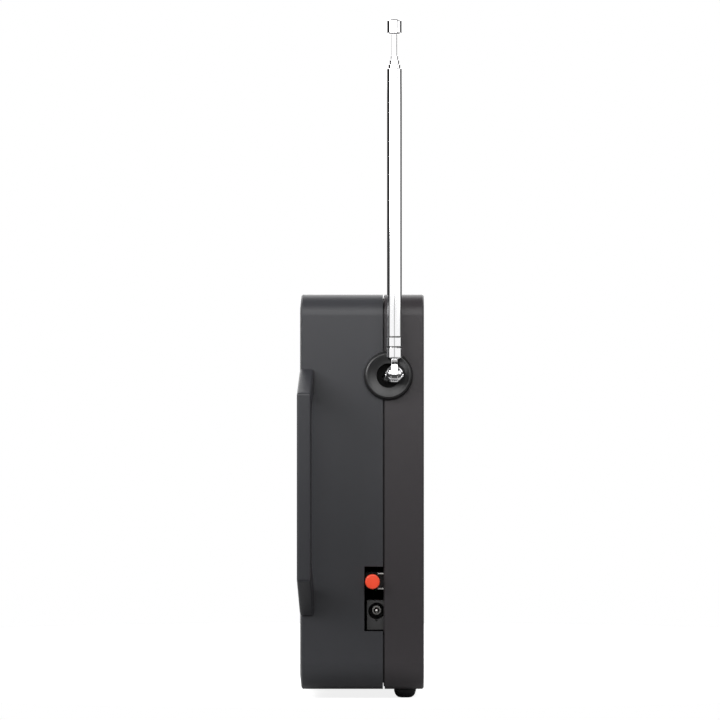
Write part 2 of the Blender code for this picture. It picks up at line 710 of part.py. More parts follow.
def rear_shell():
    front_edge = depth(FRONT_SHELL_DEPTH + SEAM_GAP)
    shell = finish(
        tray(
            [
                (REAR_RIM_WIDTH, Y_REAR),
                (RIM_CHAMFER, Y_REAR - REAR_RIM_DROP),
                (0, Y_REAR - REAR_RIM_DROP - RIM_CHAMFER),
                (0, front_edge),
                (WALL, front_edge),
                (WALL, Y_REAR - BACK_WALL),
            ]
        ),
        "rear_shell",
        "satin_black_plastic",
    )
    boss_end = depth(BOSS_MEETING) + GAP
    add_to(shell, *posts(screw_places(), BOSS_RADIUS, boss_end, Y_REAR - BACK_WALL + SUNK, SMALL_ROUND))
    behind = Y_REAR + WALL
    door_floor = Y_REAR - DOOR_THICKNESS - PLATE_SETBACK
    notch = (BAY_X, 0, DOOR_HIGH[1])
    cut_from(
        shell,
        box((BAY_LOW[0], Y_REAR - 2 * BACK_WALL, BAY_LOW[1]), (BAY_HIGH[0], behind, BAY_HIGH[1])),
        slab(rounded(DOOR_LOW, DOOR_HIGH, PANEL_CORNER, steps=SMALL_CORNER_STEPS), door_floor, behind),
        rod(DOOR_NOTCH_RADIUS, "Y", notch, Y_REAR - DOOR_NOTCH_DEPTH, behind, MID_ROUND),
        *posts(screw_places(), SCREW_HEAD_RADIUS + GAP, Y_REAR - SCREW_WELL, behind, SMALL_ROUND),
        *posts(screw_places(), SCREW_RADIUS + GAP, boss_end - WALL, behind),
        turret_hole(),
        box(
            (-X_END - WALL, front_edge - WALL, CUTOUT_LOW_Z),
            (-X_END + 2 * WALL, depth(CUTOUT_DEPTH), CUTOUT_HIGH_Z),
        ),
        rod(HEADPHONE_BARREL_RADIUS + GAP, "X", HEADPHONE, -2 * WALL, WALL),
        *[
            hole
            for side in (-1, 1)
            for hole in grip_pegs(side, GRIP_PEG_RADIUS + GAP, -2 * WALL, 2 * WALL)
        ],
    )
    return smooth(shell)


def grip(side):
    """A fixed bridge handle on one end wall, sloping down to the wall at both ends."""
    top = grip_top()
    bottom = top - GRIP_LENGTH
    outer = [
        (0, top),
        (GRIP_HEIGHT, top - GRIP_TOP_SLOPE),
        (GRIP_HEIGHT, bottom + GRIP_BOTTOM_SLOPE),
        (0, bottom),
    ]
    reach = GRIP_HEIGHT - GRIP_BAR
    inner = [
        (0, bottom + GRIP_LOWER_FOOT),
        (reach, bottom + GRIP_LOWER_FOOT + GRIP_BOTTOM_SLOPE * reach / GRIP_HEIGHT),
        (reach, top - GRIP_FOOT - GRIP_TOP_SLOPE * reach / GRIP_HEIGHT),
        (0, top - GRIP_FOOT),
    ]
    bm = bmesh.new()
    near = Y_REAR - GRIP_WIDTH
    points = []
    for rise, z in outer + inner:
        lean = GRIP_PROUD * rise / GRIP_HEIGHT
        points.append(bm.verts.new((side * (X_END + GAP + rise), near + lean, z)))
    face = bm.faces.new(points)
    moved = bmesh.ops.extrude_face_region(bm, geom=[face])["geom"]
    far = [found for found in moved if isinstance(found, bmesh.types.BMVert)]
    bmesh.ops.translate(bm, vec=(0, GRIP_WIDTH, 0), verts=far)
    name = "left_grip" if side < 0 else "right_grip"
    made = finish(bm, name, "satin_black_plastic")
    edge = made.modifiers.new("edges", "BEVEL")
    edge.width = GRIP_BEVEL
    edge.segments = BEVEL_STEPS
    edge.limit_method = "ANGLE"
    edge.angle_limit = BEVEL_ANGLE
    past, sunk = GRIP_PEG_ENDS
    add_to(made, *grip_pegs(side, GRIP_PEG_RADIUS, -WALL - past, sunk))
    return smooth(made)


def case_screws():
    """Pan-head screws at the bottom of the four wells in the back."""
    low = Y_REAR - SCREW_WELL + GAP
    outer = low + SCREW_HEAD_HEIGHT
    tip = depth(SCREW_TIP_DEPTH)
    shank = SCREW_RADIUS - RUNNING
    inwards, down = SCREW_HEAD_EDGE
    profile = [(0, tip), (shank, tip), (shank, low), (SCREW_HEAD_RADIUS, low)]
    profile += [(SCREW_HEAD_RADIUS, outer - down), (SCREW_HEAD_RADIUS - inwards, outer), (0, outer)]
    for number, (x, z) in enumerate(screw_places(), start=1):
        screw = turned(profile, "Y", (x, 0, z), SMALL_ROUND)
        smooth(finish(screw, f"case_screw_{number}", "steel"))


def front_feet():
    """Two domed rubber feet with stems that snap through the floor of the front shell."""
    top = Z_BOTTOM - GAP
    grommet = Z_BOTTOM + WALL + GAP
    profile = [(0, 0)]
    for turn in quarter(FOOT_STEPS):
        spread = FOOT_FLAT_RADIUS + (FOOT_RADIUS - FOOT_FLAT_RADIUS) * math.sin(turn)
        profile.append((spread, top * (1 - math.cos(turn))))
    barb, barb_length = FOOT_BARB
    profile += [(FOOT_STEM_RADIUS, top), (FOOT_STEM_RADIUS, grommet)]
    profile += [(FOOT_STEM_RADIUS + barb, grommet), (FOOT_STEM_RADIUS, grommet + barb_length)]
    profile += [(0, grommet + barb_length)]
    for name, place in zip(("left_foot", "right_foot"), FOOT_PLACES):
        smooth(finish(turned(profile, "Z", place, MID_ROUND), name, "black_rubber"))


# ---------------------------------------------------------------- loudspeaker and grille
def speaker_grille():
    low = (GRILLE_LOW[0] + GAP, GRILLE_LOW[1] + GAP)
    high = (GRILLE_HIGH[0] - GAP, GRILLE_HIGH[1] - GAP)
    near = depth(PLATE_SETBACK / 2)
    outline = rounded(low, high, GRILLE_CORNER - GAP)
    return smooth(finish(slab(outline, near, near + GRILLE_THICKNESS), "speaker_grille", "grille_metal"))


def loudspeaker():
    near = depth(FRONT_WALL) + GAP
    throat = near + SPEAKER_DEPTH
    wall = SPEAKER_RADIUS - FRAME_FLANGE
    inside = wall - FRAME_LEAN - FRAME_SHEET
    neck_in, neck_out = FRAME_NECK
    frame = [
        (SPEAKER_RADIUS, near),
        (SPEAKER_RADIUS, near + FRAME_SHEET),
        (wall, near + FRAME_SHEET),
        (wall - FRAME_LEAN, near + FRAME_DRAW),
        (neck_out, throat),
        (neck_in, throat),
        (neck_in, throat - FRAME_LEAN),
        (neck_out - FRAME_LEAN, throat - FRAME_LEAN),
        (inside, near + FRAME_DRAW - FRAME_SHEET / 3),
        (wall - FRAME_SHEET, near),
    ]
    smooth(finish(turned(frame, "Y", SPEAKER, ROUND, closed=True), "speaker_frame", "steel"))
    magnet = rod(MAGNET_RADIUS, "Y", SPEAKER, throat + GAP, throat + GAP + MAGNET_LENGTH, FINE_ROUND)
    smooth(finish(magnet, "speaker_magnet", "ferrite"))
    speaker_cone(inside - GAP, near + CONE_SETBACK, throat - CONE_BEFORE_THROAT)


def speaker_cone(rim, face, low):
    """A paper cone with a half-roll surround and a dust cap, out to the rim's radius."""
    cap, rise = DUST_CAP
    shoulder = (cap * math.cos(math.pi / 4), low - rise * math.sin(math.pi / 4))
    front = [
        (rim, face),
        (rim - SURROUND_WIDTH / 2, face - SURROUND_RISE),
        (rim - SURROUND_WIDTH, face + CONE_SETBACK),
        (cap, low),
        shoulder,
        (0, low - rise),
    ]
    back = [(radius, along + CONE_PAPER) for radius, along in reversed(front)]
    smooth(finish(turned(back + front, "Y", SPEAKER, ROUND), "speaker_cone", "paper_cone"), SOFT_ANGLE)


# ---------------------------------------------------------------- dial
def dial():
    low = (LENS_LOW[0] + GAP, LENS_LOW[1] + GAP)
    high = (LENS_HIGH[0] - GAP, LENS_HIGH[1] - GAP)
    near = depth(PLATE_SETBACK / 2)
    outline = rounded(low, high, PANEL_CORNER - GAP, steps=SMALL_CORNER_STEPS)
    finish(slab(outline, near, near + LENS_THICKNESS), "dial_lens", "clear_acrylic")

    half = LENS_WIDTH / 2
    scale_low = (-half, depth(SCALE_DEPTH), LENS_LOW[1])
    scale_high = (half, depth(SCALE_DEPTH + SCALE_THICKNESS), LENS_HIGH[1] - GAP)
    finish(box(scale_low, scale_high), "dial_scale", "dial_ivory")

    side = POST_X + POST_RADIUS
    top = LENS_HIGH[1] - GAP
    near = depth(CHASSIS_DEPTH)
    far = near + CHASSIS_THICKNESS
    chassis = finish(
        box((-side, near, LENS_LOW[1] - CHASSIS_DROP), (side, far, top)), "dial_chassis", "steel"
    )
    inset, rise = CHASSIS_PEG_INSET
    pegs = [(x, LENS_LOW[1] + rise) for x in (-side + inset, side - inset)]
    middle = near + CHASSIS_THICKNESS / 2
    add_to(chassis, *posts(pegs, CHASSIS_PEG_RADIUS, middle, depth(CHASSIS_PEG_END), SMALL_ROUND))
    dial_pointer(top, far)


def dial_pointer(top, far):
    """A blade in front of the scale, bent over the chassis's top edge into a clip behind it."""

    blade = POINTER_WIDTH / 2
    over = top + 2 * GAP
    back = far + 3 * GAP
    front = depth(POINTER_DEPTH)
    bend = over + CLIP_SHEET
    low = (-blade, front, LENS_LOW[1] + POINTER_FOOT)
    pointer = finish(
        box(low, (blade, front + POINTER_THICKNESS, bend)),
        "dial_pointer",
        "pointer_red",
        pivot=(0, front, DIAL_MIDDLE),
    )
    clip = CLIP_WIDTH / 2
    add_to(
        pointer,
        box((-blade - NUDGE, front + NUDGE, over), (blade + NUDGE, back, bend + NUDGE)),
        box((-clip, back - NUDGE, top - CLIP_DROP), (clip, back + CLIP_SHEET - NUDGE, bend + 2 * NUDGE)),
    )


def band_switch():
    wide, tall, thick = SWITCH_KNOB
    near = depth(PLATE_SETBACK)
    low = (SWITCH_SIDE - wide / 2, DIAL_MIDDLE - tall / 2)
    high = (SWITCH_SIDE + wide / 2, DIAL_MIDDLE + tall / 2)
    knob = finish(
        slab(rounded(low, high, SWITCH_CORNERS[1], steps=SMALL_CORNER_STEPS), near, near + thick),
        "band_switch_knob",
        "gloss_black_plastic",
        pivot=(SWITCH_SIDE, near, DIAL_MIDDLE),
    )
    stem = SWITCH_STEM / 2
    body_near = depth(SWITCH_BODY_DEPTH)
    long, high, deep = SWITCH_BODY
    add_to(
        knob,
        box(
            (SWITCH_SIDE - stem, near + thick / 2, DIAL_MIDDLE - stem),
            (SWITCH_SIDE + stem, body_near - GAP, DIAL_MIDDLE + stem),
        ),
    )
    finish(
        box(
            (SWITCH_SIDE - long / 2, body_near, DIAL_MIDDLE - high / 2),
            (SWITCH_SIDE + long / 2, body_near + deep, DIAL_MIDDLE + high / 2),
        ),
        "band_switch_body",
        "steel",
    )


def indicator_lamp():
    """A domed red lamp opposite the band switch, held by its flange."""
    near = depth(PLATE_SETBACK)
    seat, end = (depth(place) for place in LED_FLANGE_DEPTHS)
    flange = LED_RADIUS + LED_FLANGE
    profile = [
        (LED_RADIUS * math.sin(turn), near + LED_DOME * (1 - math.cos(turn))) for turn in quarter(FOOT_STEPS)
    ]
    profile += [(LED_RADIUS, seat), (flange, seat), (flange, end), (0, end)]
    lamp = turned(profile, "Y", (-SWITCH_SIDE, 0, DIAL_MIDDLE), MID_ROUND)
    smooth(finish(lamp, "indicator_lamp", "pointer_red"))


def knurled(radius, teeth, near, far, centre):
    """A thumbwheel's rim: an outline with shallow teeth, made solid between two depths."""
    outline = []
    top_end, floor_start, floor_end = TOOTH_SHARES
    tooth = ((0, 1), (top_end, 1), (floor_start, TOOTH_FLOOR), (floor_end, TOOTH_FLOOR))
    for k in range(teeth):
        for share, reach in tooth:
            turn = 2 * math.pi * (k + share) / teeth
            outline.append(
                (centre[0] + radius * reach * math.cos(turn), centre[2] + radius * reach * math.sin(turn))
            )
    return slab(outline, near, far)


def pulley(radius, near, width, centre, bm=None):
    """A V-grooved cord pulley."""
    lip = radius + PULLEY_GROOVE
    profile = [
        (0, near),
        (lip, near),
        (lip, near + PULLEY_LIP),
        (radius, near + width / 2),
        (lip, near + width - PULLEY_LIP),
        (lip, near + width),
        (0, near + width),
    ]
    return turned(profile, "Y", centre, ROUND, bm=bm)


def tuning_drive():
    near = depth(WHEEL_DEPTH)
    far = near + WHEEL_THICKNESS
    wheel = finish(
        knurled(WHEEL_RADIUS, WHEEL_TEETH, near, far, WHEEL_CENTRE),
        "tuning_wheel",
        "gloss_black_plastic",
        pivot=(WHEEL_CENTRE[0], near, WHEEL_CENTRE[2]),
    )
    add_to(
        wheel,
        pulley(SPINDLE_PULLEY_RADIUS, far - NUDGE, PULLEY_WIDTH + NUDGE, WHEEL_CENTRE),
        rod(AXLE_RADIUS, "Y", WHEEL_CENTRE, far, depth(BOARD_DEPTH + BOARD_THICKNESS + AXLE_PAST)),
    )
    smooth(wheel)
    tuning_drum(far + GAP)


def tuning_drum(near):
    """The large pulley behind the dial, whose hub turns the tuning capacitor."""
    centre = (DRUM_X, 0, WHEEL_CENTRE[2])
    drum = finish(
        pulley(DRUM_RADIUS, near, PULLEY_WIDTH, centre),
        "tuning_drum",
        "white_plastic",
        pivot=(DRUM_X, near, WHEEL_CENTRE[2]),
    )
    board_far = depth(BOARD_DEPTH + BOARD_THICKNESS)
    add_to(drum, rod(HUB_RADIUS, "Y", centre, near + PULLEY_WIDTH / 2, board_far))
    turns = [2 * math.pi * (k + 0.5) / DRUM_HOLES for k in range(DRUM_HOLES)]
    holes = [
        (DRUM_X + DRUM_HOLE_PLACE * math.cos(turn), centre[2] + DRUM_HOLE_PLACE * math.sin(turn))
        for turn in turns
    ]
    past = near + PULLEY_WIDTH + WALL
    cut_from(drum, *posts(holes, DRUM_HOLE_RADIUS, near - WALL, past, SMALL_ROUND))
    smooth(drum)
    wide, long, tall = CAPACITOR
    finish(
        box(
            (DRUM_X - wide / 2, board_far + GAP, centre[2] - tall / 2),
            (DRUM_X + wide / 2, board_far + GAP + long, centre[2] + tall / 2),
        ),
        "tuning_capacitor",
        "white_plastic",
    )


def volume_drive():
    near = depth(WHEEL_DEPTH)
    far = near + VOLUME_THICKNESS
    wheel = finish(
        knurled(VOLUME_RADIUS, VOLUME_TEETH, near, far, VOLUME_CENTRE),
        "volume_wheel",
        "gloss_black_plastic",
        pivot=(VOLUME_CENTRE[0], near, VOLUME_CENTRE[2]),
    )
    hub_end = far + HUB_RISE
    add_to(wheel, rod(HUB_RADIUS, "Y", VOLUME_CENTRE, far - HUB_RISE, hub_end))
    smooth(wheel)
    pot = rod(POT_RADIUS, "Y", VOLUME_CENTRE, hub_end + GAP, depth(BOARD_DEPTH) - GAP, MID_ROUND)
    smooth(finish(pot, "volume_control", "steel"))


# ---------------------------------------------------------------- electronics
def boards():
    near = depth(BOARD_DEPTH)
    far = near + BOARD_THICKNESS
    edge = X_END - WALL - LIP_THICKNESS - GAP - BOARD_EDGE_GAP
    low, high = (height(level) for level in BOARD_HEIGHTS)
    main = finish(
        box((BOARD_LEFT, near, low), (edge, far, high)),
        "main_board",
        "board_green",
    )
    past = (near - WALL, far + WALL)
    cut_from(
        main,
        rod(AXLE_RADIUS + GAP, "Y", WHEEL_CENTRE, *past),
        rod(HUB_RADIUS + GAP, "Y", (DRUM_X, 0, WHEEL_CENTRE[2]), *past),
        *posts(BOARD_BOSSES, BOARD_HOLE_RADIUS, *past),
    )
    near = depth(POWER_BOARD_DEPTH)
    far = near + BOARD_THICKNESS
    below, above = POWER_BOARD_MARGINS
    power = finish(
        box(
            (-edge, near, CUTOUT_LOW_Z - below),
            (-edge + POWER_BOARD_WIDTH, far, CUTOUT_HIGH_Z + above),
        ),
        "power_board",
        "board_green",
    )
    cut_from(power, *posts(POWER_BOARD_POSTS, BOARD_HOLE_RADIUS, near - WALL, far + WALL))


def board_screws():
    """Small screws that hold the two boards to the front shell's bosses."""
    spots = [(x, z, BOARD_DEPTH) for x, z in BOARD_BOSSES]
    spots += [(x, z, POWER_BOARD_DEPTH) for x, z in POWER_BOARD_POSTS]
    shank, length = BOARD_SCREW
    head, thick = BOARD_SCREW_HEAD
    for number, (x, z, board) in enumerate(spots, start=1):
        under = depth(board + BOARD_THICKNESS) + GAP
        profile = [(0, under - length), (shank, under - length), (shank, under), (head, under)]
        profile += [(head, under + thick), (0, under + thick)]
        smooth(finish(turned(profile, "Y", (x, 0, z), TINY_ROUND), f"board_screw_{number}", "steel"))


def power_switch():
    z = CUTOUT_LOW_Z + BUTTON_ABOVE
    y = depth(BUTTON_DEPTH)
    seat = depth(POWER_BOARD_DEPTH + BOARD_THICKNESS) + GAP
    front_x = -X_END + POWER_BODY_INSET
    half = POWER_BODY_HALF
    body = finish(
        box((front_x, seat, z - half), (front_x + POWER_BODY_LENGTH, y + POWER_BODY_BEHIND, z + half)),
        "power_switch_body",
        "inner_black_plastic",
    )
    stem = BUTTON_STEM / 2
    hole = stem + GAP
    socket_end = front_x + POWER_SOCKET_LENGTH
    cut_from(body, box((front_x - WALL, y - hole, z - hole), (socket_end, y + hole, z + hole)))

    sheet = POWER_FRAME_SHEET
    arm = POWER_FRAME_ARM
    reach = -X_END + WALL + GAP
    arm_depth = depth(POWER_FRAME_DEPTH)
    frame = finish(
        box((front_x - GAP - sheet, seat, z - arm), (front_x - GAP, arm_depth, z + arm)),
        "power_switch_frame",
        "steel",
    )
    add_to(
        frame,
        box((reach, seat, z + arm - sheet), (front_x - GAP - sheet / 2, arm_depth, z + arm)),
        box((reach, seat, z - arm), (front_x - GAP - sheet / 2, arm_depth, z - arm + sheet)),
    )

    face = -X_END - BUTTON_PROUD
    outer = [(0, 0), (BUTTON_RADIUS - BUTTON_EDGE, 0), (BUTTON_RADIUS, BUTTON_EDGE)]
    outer += [(BUTTON_RADIUS, BUTTON_LENGTH), (0, BUTTON_LENGTH)]
    pivot = (face, y, z)
    cap = finish(turned(outer, "X", pivot, ROUND), "power_button", "red_plastic", pivot=pivot)
    stem_end = front_x + BUTTON_STEM_IN
    finish(
        box(
            (face + BUTTON_LENGTH + GAP, y - stem, z - stem),
            (stem_end, y + stem, z + stem),
        ),
        "power_button_stem",
        "white_plastic",
        pivot=pivot,
    )
    smooth(cap)


def dc_jack():
    long, deep, tall = JACK_SIZE
    front_x = -X_END + WALL + GAP
    near = depth(POWER_BOARD_DEPTH + BOARD_THICKNESS) + GAP
    low_z = CUTOUT_LOW_Z + JACK_ABOVE
    body = finish(
        box((front_x, near, low_z), (front_x + long, near + deep, low_z + tall)),
        "dc_jack_body",
        "jack_plastic",
    )
    hole = (front_x, depth(JACK_HOLE_DEPTH), CUTOUT_LOW_Z + JACK_HOLE_ABOVE)
    key, drop, reach = JACK_KEYWAY
    cut_from(
        body,
        rod(JACK_HOLE_RADIUS, "X", hole, -WALL, JACK_HOLE_LENGTH, ROUND),
        box(
            (front_x - WALL, hole[1] - key, hole[2] - JACK_HOLE_RADIUS - drop),
            (front_x + reach, hole[1] + key, hole[2]),
        ),
    )
    base = JACK_HOLE_LENGTH - GAP
    collar_radius, collar_length = JACK_PIN_COLLAR
    collar = base - collar_length
    tip_radius, tip_length = JACK_PIN_TIP
    tip = JACK_PIN_SETBACK
    profile = [(0, tip), (tip_radius, tip), (JACK_PIN_RADIUS, tip + tip_length), (JACK_PIN_RADIUS, collar)]
    profile += [(collar_radius, collar), (collar_radius, base), (0, base)]
    smooth(finish(turned(profile, "X", hole, MID_ROUND), "dc_jack_pin", "steel"))


def headphone_jack():
    """A socket block behind the right end wall, with its threaded barrel in the wall's hole."""
    x, y, z = HEADPHONE
    inner = x - WALL - HEADPHONE_SETBACK
    far = depth(BOARD_DEPTH + BOARD_THICKNESS) + GAP
    long, tall = HEADPHONE_BLOCK
    block = finish(
        box((inner - long, far, z - tall / 2), (inner, y + tall / 2, z + tall / 2)),
        "headphone_jack",
        "inner_black_plastic",
    )
    add_to(block, rod(HEADPHONE_BARREL_RADIUS, "X", HEADPHONE, inner - x - SUNK, -GAP))
    bore_end = inner - x - HEADPHONE_BORE_LENGTH
    cut_from(block, rod(HEADPHONE_BORE_RADIUS, "X", HEADPHONE, bore_end, WALL))
    smooth(block)


def ferrite_aerial():
    """The ferrite rod with its coil, held by a strip with an upright at each end."""
    y = depth(FERRITE_DEPTH)
    z = Z_TOP - ROD_HEIGHT_BELOW_TOP
    half = FERRITE_LENGTH / 2
    centre = (FERRITE_X, y, z)
    smooth(finish(rod(FERRITE_RADIUS, "X", centre, -half, half, MID_ROUND), "ferrite_rod", "ferrite"))
    inner = FERRITE_RADIUS + GAP
    coil = ring(inner, inner + COIL_THICKNESS, "X", centre, *COIL_SPAN, MID_ROUND)
    smooth(finish(coil, "aerial_coil", "copper"))
    back = Y_REAR - BACK_WALL - GAP
    outer = FERRITE_RADIUS + HOLDER_MARGIN
    span = half - HOLDER_INSET
    low = (FERRITE_X - span, back - HOLDER_SHEET, z - outer)
    holder = finish(box(low, (FERRITE_X + span, back, z + outer)), "aerial_holder", "white_plastic")
    thick = HOLDER_UPRIGHT
    joined = back - HOLDER_SHEET / 2
    starts = (FERRITE_X - span, FERRITE_X + span - thick)
    add_to(holder, *[box((x, y - outer, z - outer), (x + thick, joined, z + outer)) for x in starts])
    cut_from(holder, rod(inner, "X", centre, -half, half, MID_ROUND))


# ---------------------------------------------------------------- battery bay
def battery_bay():
    near = Y_REAR - BACK_WALL - GAP - BAY_DEPTH
    far = Y_REAR - BACK_WALL - GAP
    wall = BAY_WALL
    tray_box = finish(
        box(
            (BAY_LOW[0] - wall, near - wall, BAY_LOW[1] - wall),
            (BAY_HIGH[0] + wall, far, BAY_HIGH[1] + wall),
        ),
        "battery_tray",
        "inner_black_plastic",
    )
    cut_from(tray_box, box((BAY_LOW[0], near, BAY_LOW[1]), (BAY_HIGH[0], far + WALL, BAY_HIGH[1])))
    middle = (BAY_LOW[1] + BAY_HIGH[1]) / 2
    cell_y = near + BAY_DEPTH / 2
    quarter_bay = BAY_HEIGHT / 4
    sheet = CONTACT_SHEET
    stud_radius, stud_rise = CONTACT_STUD
    for name, side in (("left", -1), ("right", 1)):
        wall_x = BAY_X + side * (BAY_WIDTH / 2 - GAP)
        inner_x = wall_x - side * sheet
        spread = quarter_bay - CONTACT_MARGIN
        corners = sorted((wall_x, inner_x))
        plate = finish(
            box(
                (corners[0], cell_y - spread, middle - quarter_bay - spread),
                (corners[1], cell_y + spread, middle + quarter_bay + spread),
            ),
            f"battery_contact_{name}",
            "steel",
        )
        stud = (inner_x, cell_y, middle + side * quarter_bay)
        ends = sorted((side * sheet / 2, -side * stud_rise))
        add_to(plate, rod(stud_radius, "X", stud, *ends))
        start = (inner_x - side * GAP, cell_y, middle - side * quarter_bay)
        spring = conical_spring(start, -side)
        smooth(finish(spring, f"battery_spring_{name}", "steel"), SOFT_ANGLE)

    low = (DOOR_LOW[0] + GAP, DOOR_LOW[1] + GAP)
    high = (DOOR_HIGH[0] - GAP, DOOR_HIGH[1] - GAP)
    outer = Y_REAR - PLATE_SETBACK / 2
    door = finish(
        slab(
            rounded(low, high, PANEL_CORNER - GAP, steps=SMALL_CORNER_STEPS), outer - DOOR_THICKNESS, outer
        ),
        "battery_door",
        "satin_black_plastic",
        pivot=(BAY_X, outer, low[1]),
    )
    return smooth(door)


def conical_spring(start, direction):
    """A tapered wire coil, swept as one closed tube."""
    bm = bmesh.new()
    wire = SPRING_WIRE
    wide, narrow = SPRING_RADII
    rings = []
    count = SPRING_TURNS * SPRING_STEPS
    along = Vector((1, 0, 0))
    section = [2 * math.pi * side / SPRING_SIDES for side in range(SPRING_SIDES)]
    for k in range(count + 1):
        share = k / count
        turn = 2 * math.pi * SPRING_TURNS * share
        outward = Vector((0, math.cos(turn), math.sin(turn)))
        radius = wide + (narrow - wide) * share
        centre = Vector(start) + direction * (wire + SPRING_LENGTH * share) * along + radius * outward
        rings.append(
            [bm.verts.new(centre + wire * (outward * math.cos(a) + along * math.sin(a))) for a in section]
        )
    for first, second in zip(rings, rings[1:]):
        for s in range(SPRING_SIDES):
            after = (s + 1) % SPRING_SIDES
            bm.faces.new((first[s], first[after], second[after], second[s]))
    bm.faces.new(rings[0])
    bm.faces.new(rings[-1])
    return bm


# ---------------------------------------------------------------- antenna
def antenna_base():
    """The turret on the end wall, its retainer inside, and the forked lug that holds the elbow pin."""
    axis = empty("turret_axis", TURRET)
    rim = TURRET_THICKNESS + GAP
    hole_floor = WALL
    neck_end = WALL + GAP + LIP_THICKNESS + GAP
    inner_flat, crest, outer_flat = (TURRET_RIM_RADIUS - inset for inset in TURRET_RIM_FLAT)
    profile = [
        (0, hole_floor),
        (TURRET_HOLE_RADIUS, hole_floor),
        (TURRET_HOLE_RADIUS, -(rim - TURRET_DISH)),
        (inner_flat, -rim + TURRET_RIM_ROUND),
        (crest, -rim),
        (outer_flat, -rim + TURRET_RIM_ROUND),
        (TURRET_RIM_RADIUS, -rim + TURRET_RIM_EDGE),
        (TURRET_BASE_RADIUS, -GAP - TURRET_SKIRT),
        (TURRET_BASE_RADIUS, -GAP),
        (TURRET_NECK_RADIUS, -GAP),
        (TURRET_NECK_RADIUS, neck_end),
        (0, neck_end),
    ]
    turret = turned(profile, "X", TURRET, FINE_ROUND)
    smooth(finish(turret, "antenna_turret", "gloss_black_plastic", pivot=TURRET, parent=axis))
    near = neck_end + GAP
    far = near + RETAINER_SHEET
    wide = TURRET_NECK_RADIUS + RETAINER_OVERLAP
    boss, boss_length = RETAINER_BOSS
    profile = [(0, near), (wide, near), (wide, far), (boss, far), (boss, near + boss_length)]
    profile += [(0, near + boss_length)]
    retainer = turned(profile, "X", TURRET)
    smooth(finish(retainer, "turret_retainer", "steel", pivot=TURRET, parent=axis))
    antenna_clevis(axis, hole_floor)
    return axis


def antenna_clevis(axis, hole_floor):
    """The lug on the turret, with a slanted shank down into its hole and a slot for the knuckle."""
    base = Vector(ELBOW) + Vector((CLEVIS_BASE, 0, 0))
    edge = CLEVIS_EDGE
    profile = [(0, CLEVIS_BASE), (CLEVIS_RADIUS - edge, CLEVIS_BASE), (CLEVIS_RADIUS, CLEVIS_BASE - edge)]
    profile += [
        (CLEVIS_RADIUS * math.cos(turn), -CLEVIS_RADIUS * math.sin(turn))
        for turn in quarter(CLEVIS_STEPS)[:-1]
    ]
    profile.append((0, -CLEVIS_RADIUS))
    lug = turned(profile, "X", ELBOW, FINE_ROUND)
    clevis = finish(lug, "antenna_clevis", "chrome", pivot=TURRET, parent=axis)
    back, aside, down = SHANK_FOOT
    foot = Vector(TURRET) + Vector((hole_floor - GAP - back, aside, down))
    start = base - (foot - base).normalized() * SHANK_SUNK
    add_to(clevis, slanted_rod(SHANK_RADIUS, start, foot))
    slot = FORK_SLOT / 2
    clear = TONGUE_EYE + GAP
    cut_from(
        clevis,
        box(
            (ELBOW[0] - 2 * CLEVIS_RADIUS, ELBOW[1] - slot, ELBOW[2] - clear),
            (ELBOW[0] + clear - FORK_FLOOR, ELBOW[1] + slot, ELBOW[2] + 2 * CLEVIS_RADIUS),
        ),
        rod(ELBOW_PIN_RADIUS + RUNNING, "Y", ELBOW, -2 * CLEVIS_RADIUS, 2 * CLEVIS_RADIUS, MID_ROUND),
    )
    smooth(clevis)
    reach = CLEVIS_RADIUS - ELBOW_PIN_SETBACK
    pin = rod(ELBOW_PIN_RADIUS, "Y", ELBOW, -reach, reach, MID_ROUND)
    smooth(finish(pin, "elbow_pin", "steel", pivot=ELBOW, parent=axis))


def quarter(steps):
    return [math.pi / 2 * k / steps for k in range(steps + 1)]


def slanted_rod(radius, start, end):
    """A cylinder between any two points."""
    bm = bmesh.new()
    run = end - start
    turn = run.to_track_quat("Z", "Y").to_matrix().to_4x4()
    bmesh.ops.create_cone(
        bm,
        cap_ends=True,
        segments=MID_ROUND,
        radius1=radius,
        radius2=radius,
        depth=run.length,
        matrix=Matrix.Translation((start + end) / 2) @ turn,
    )
    return bm


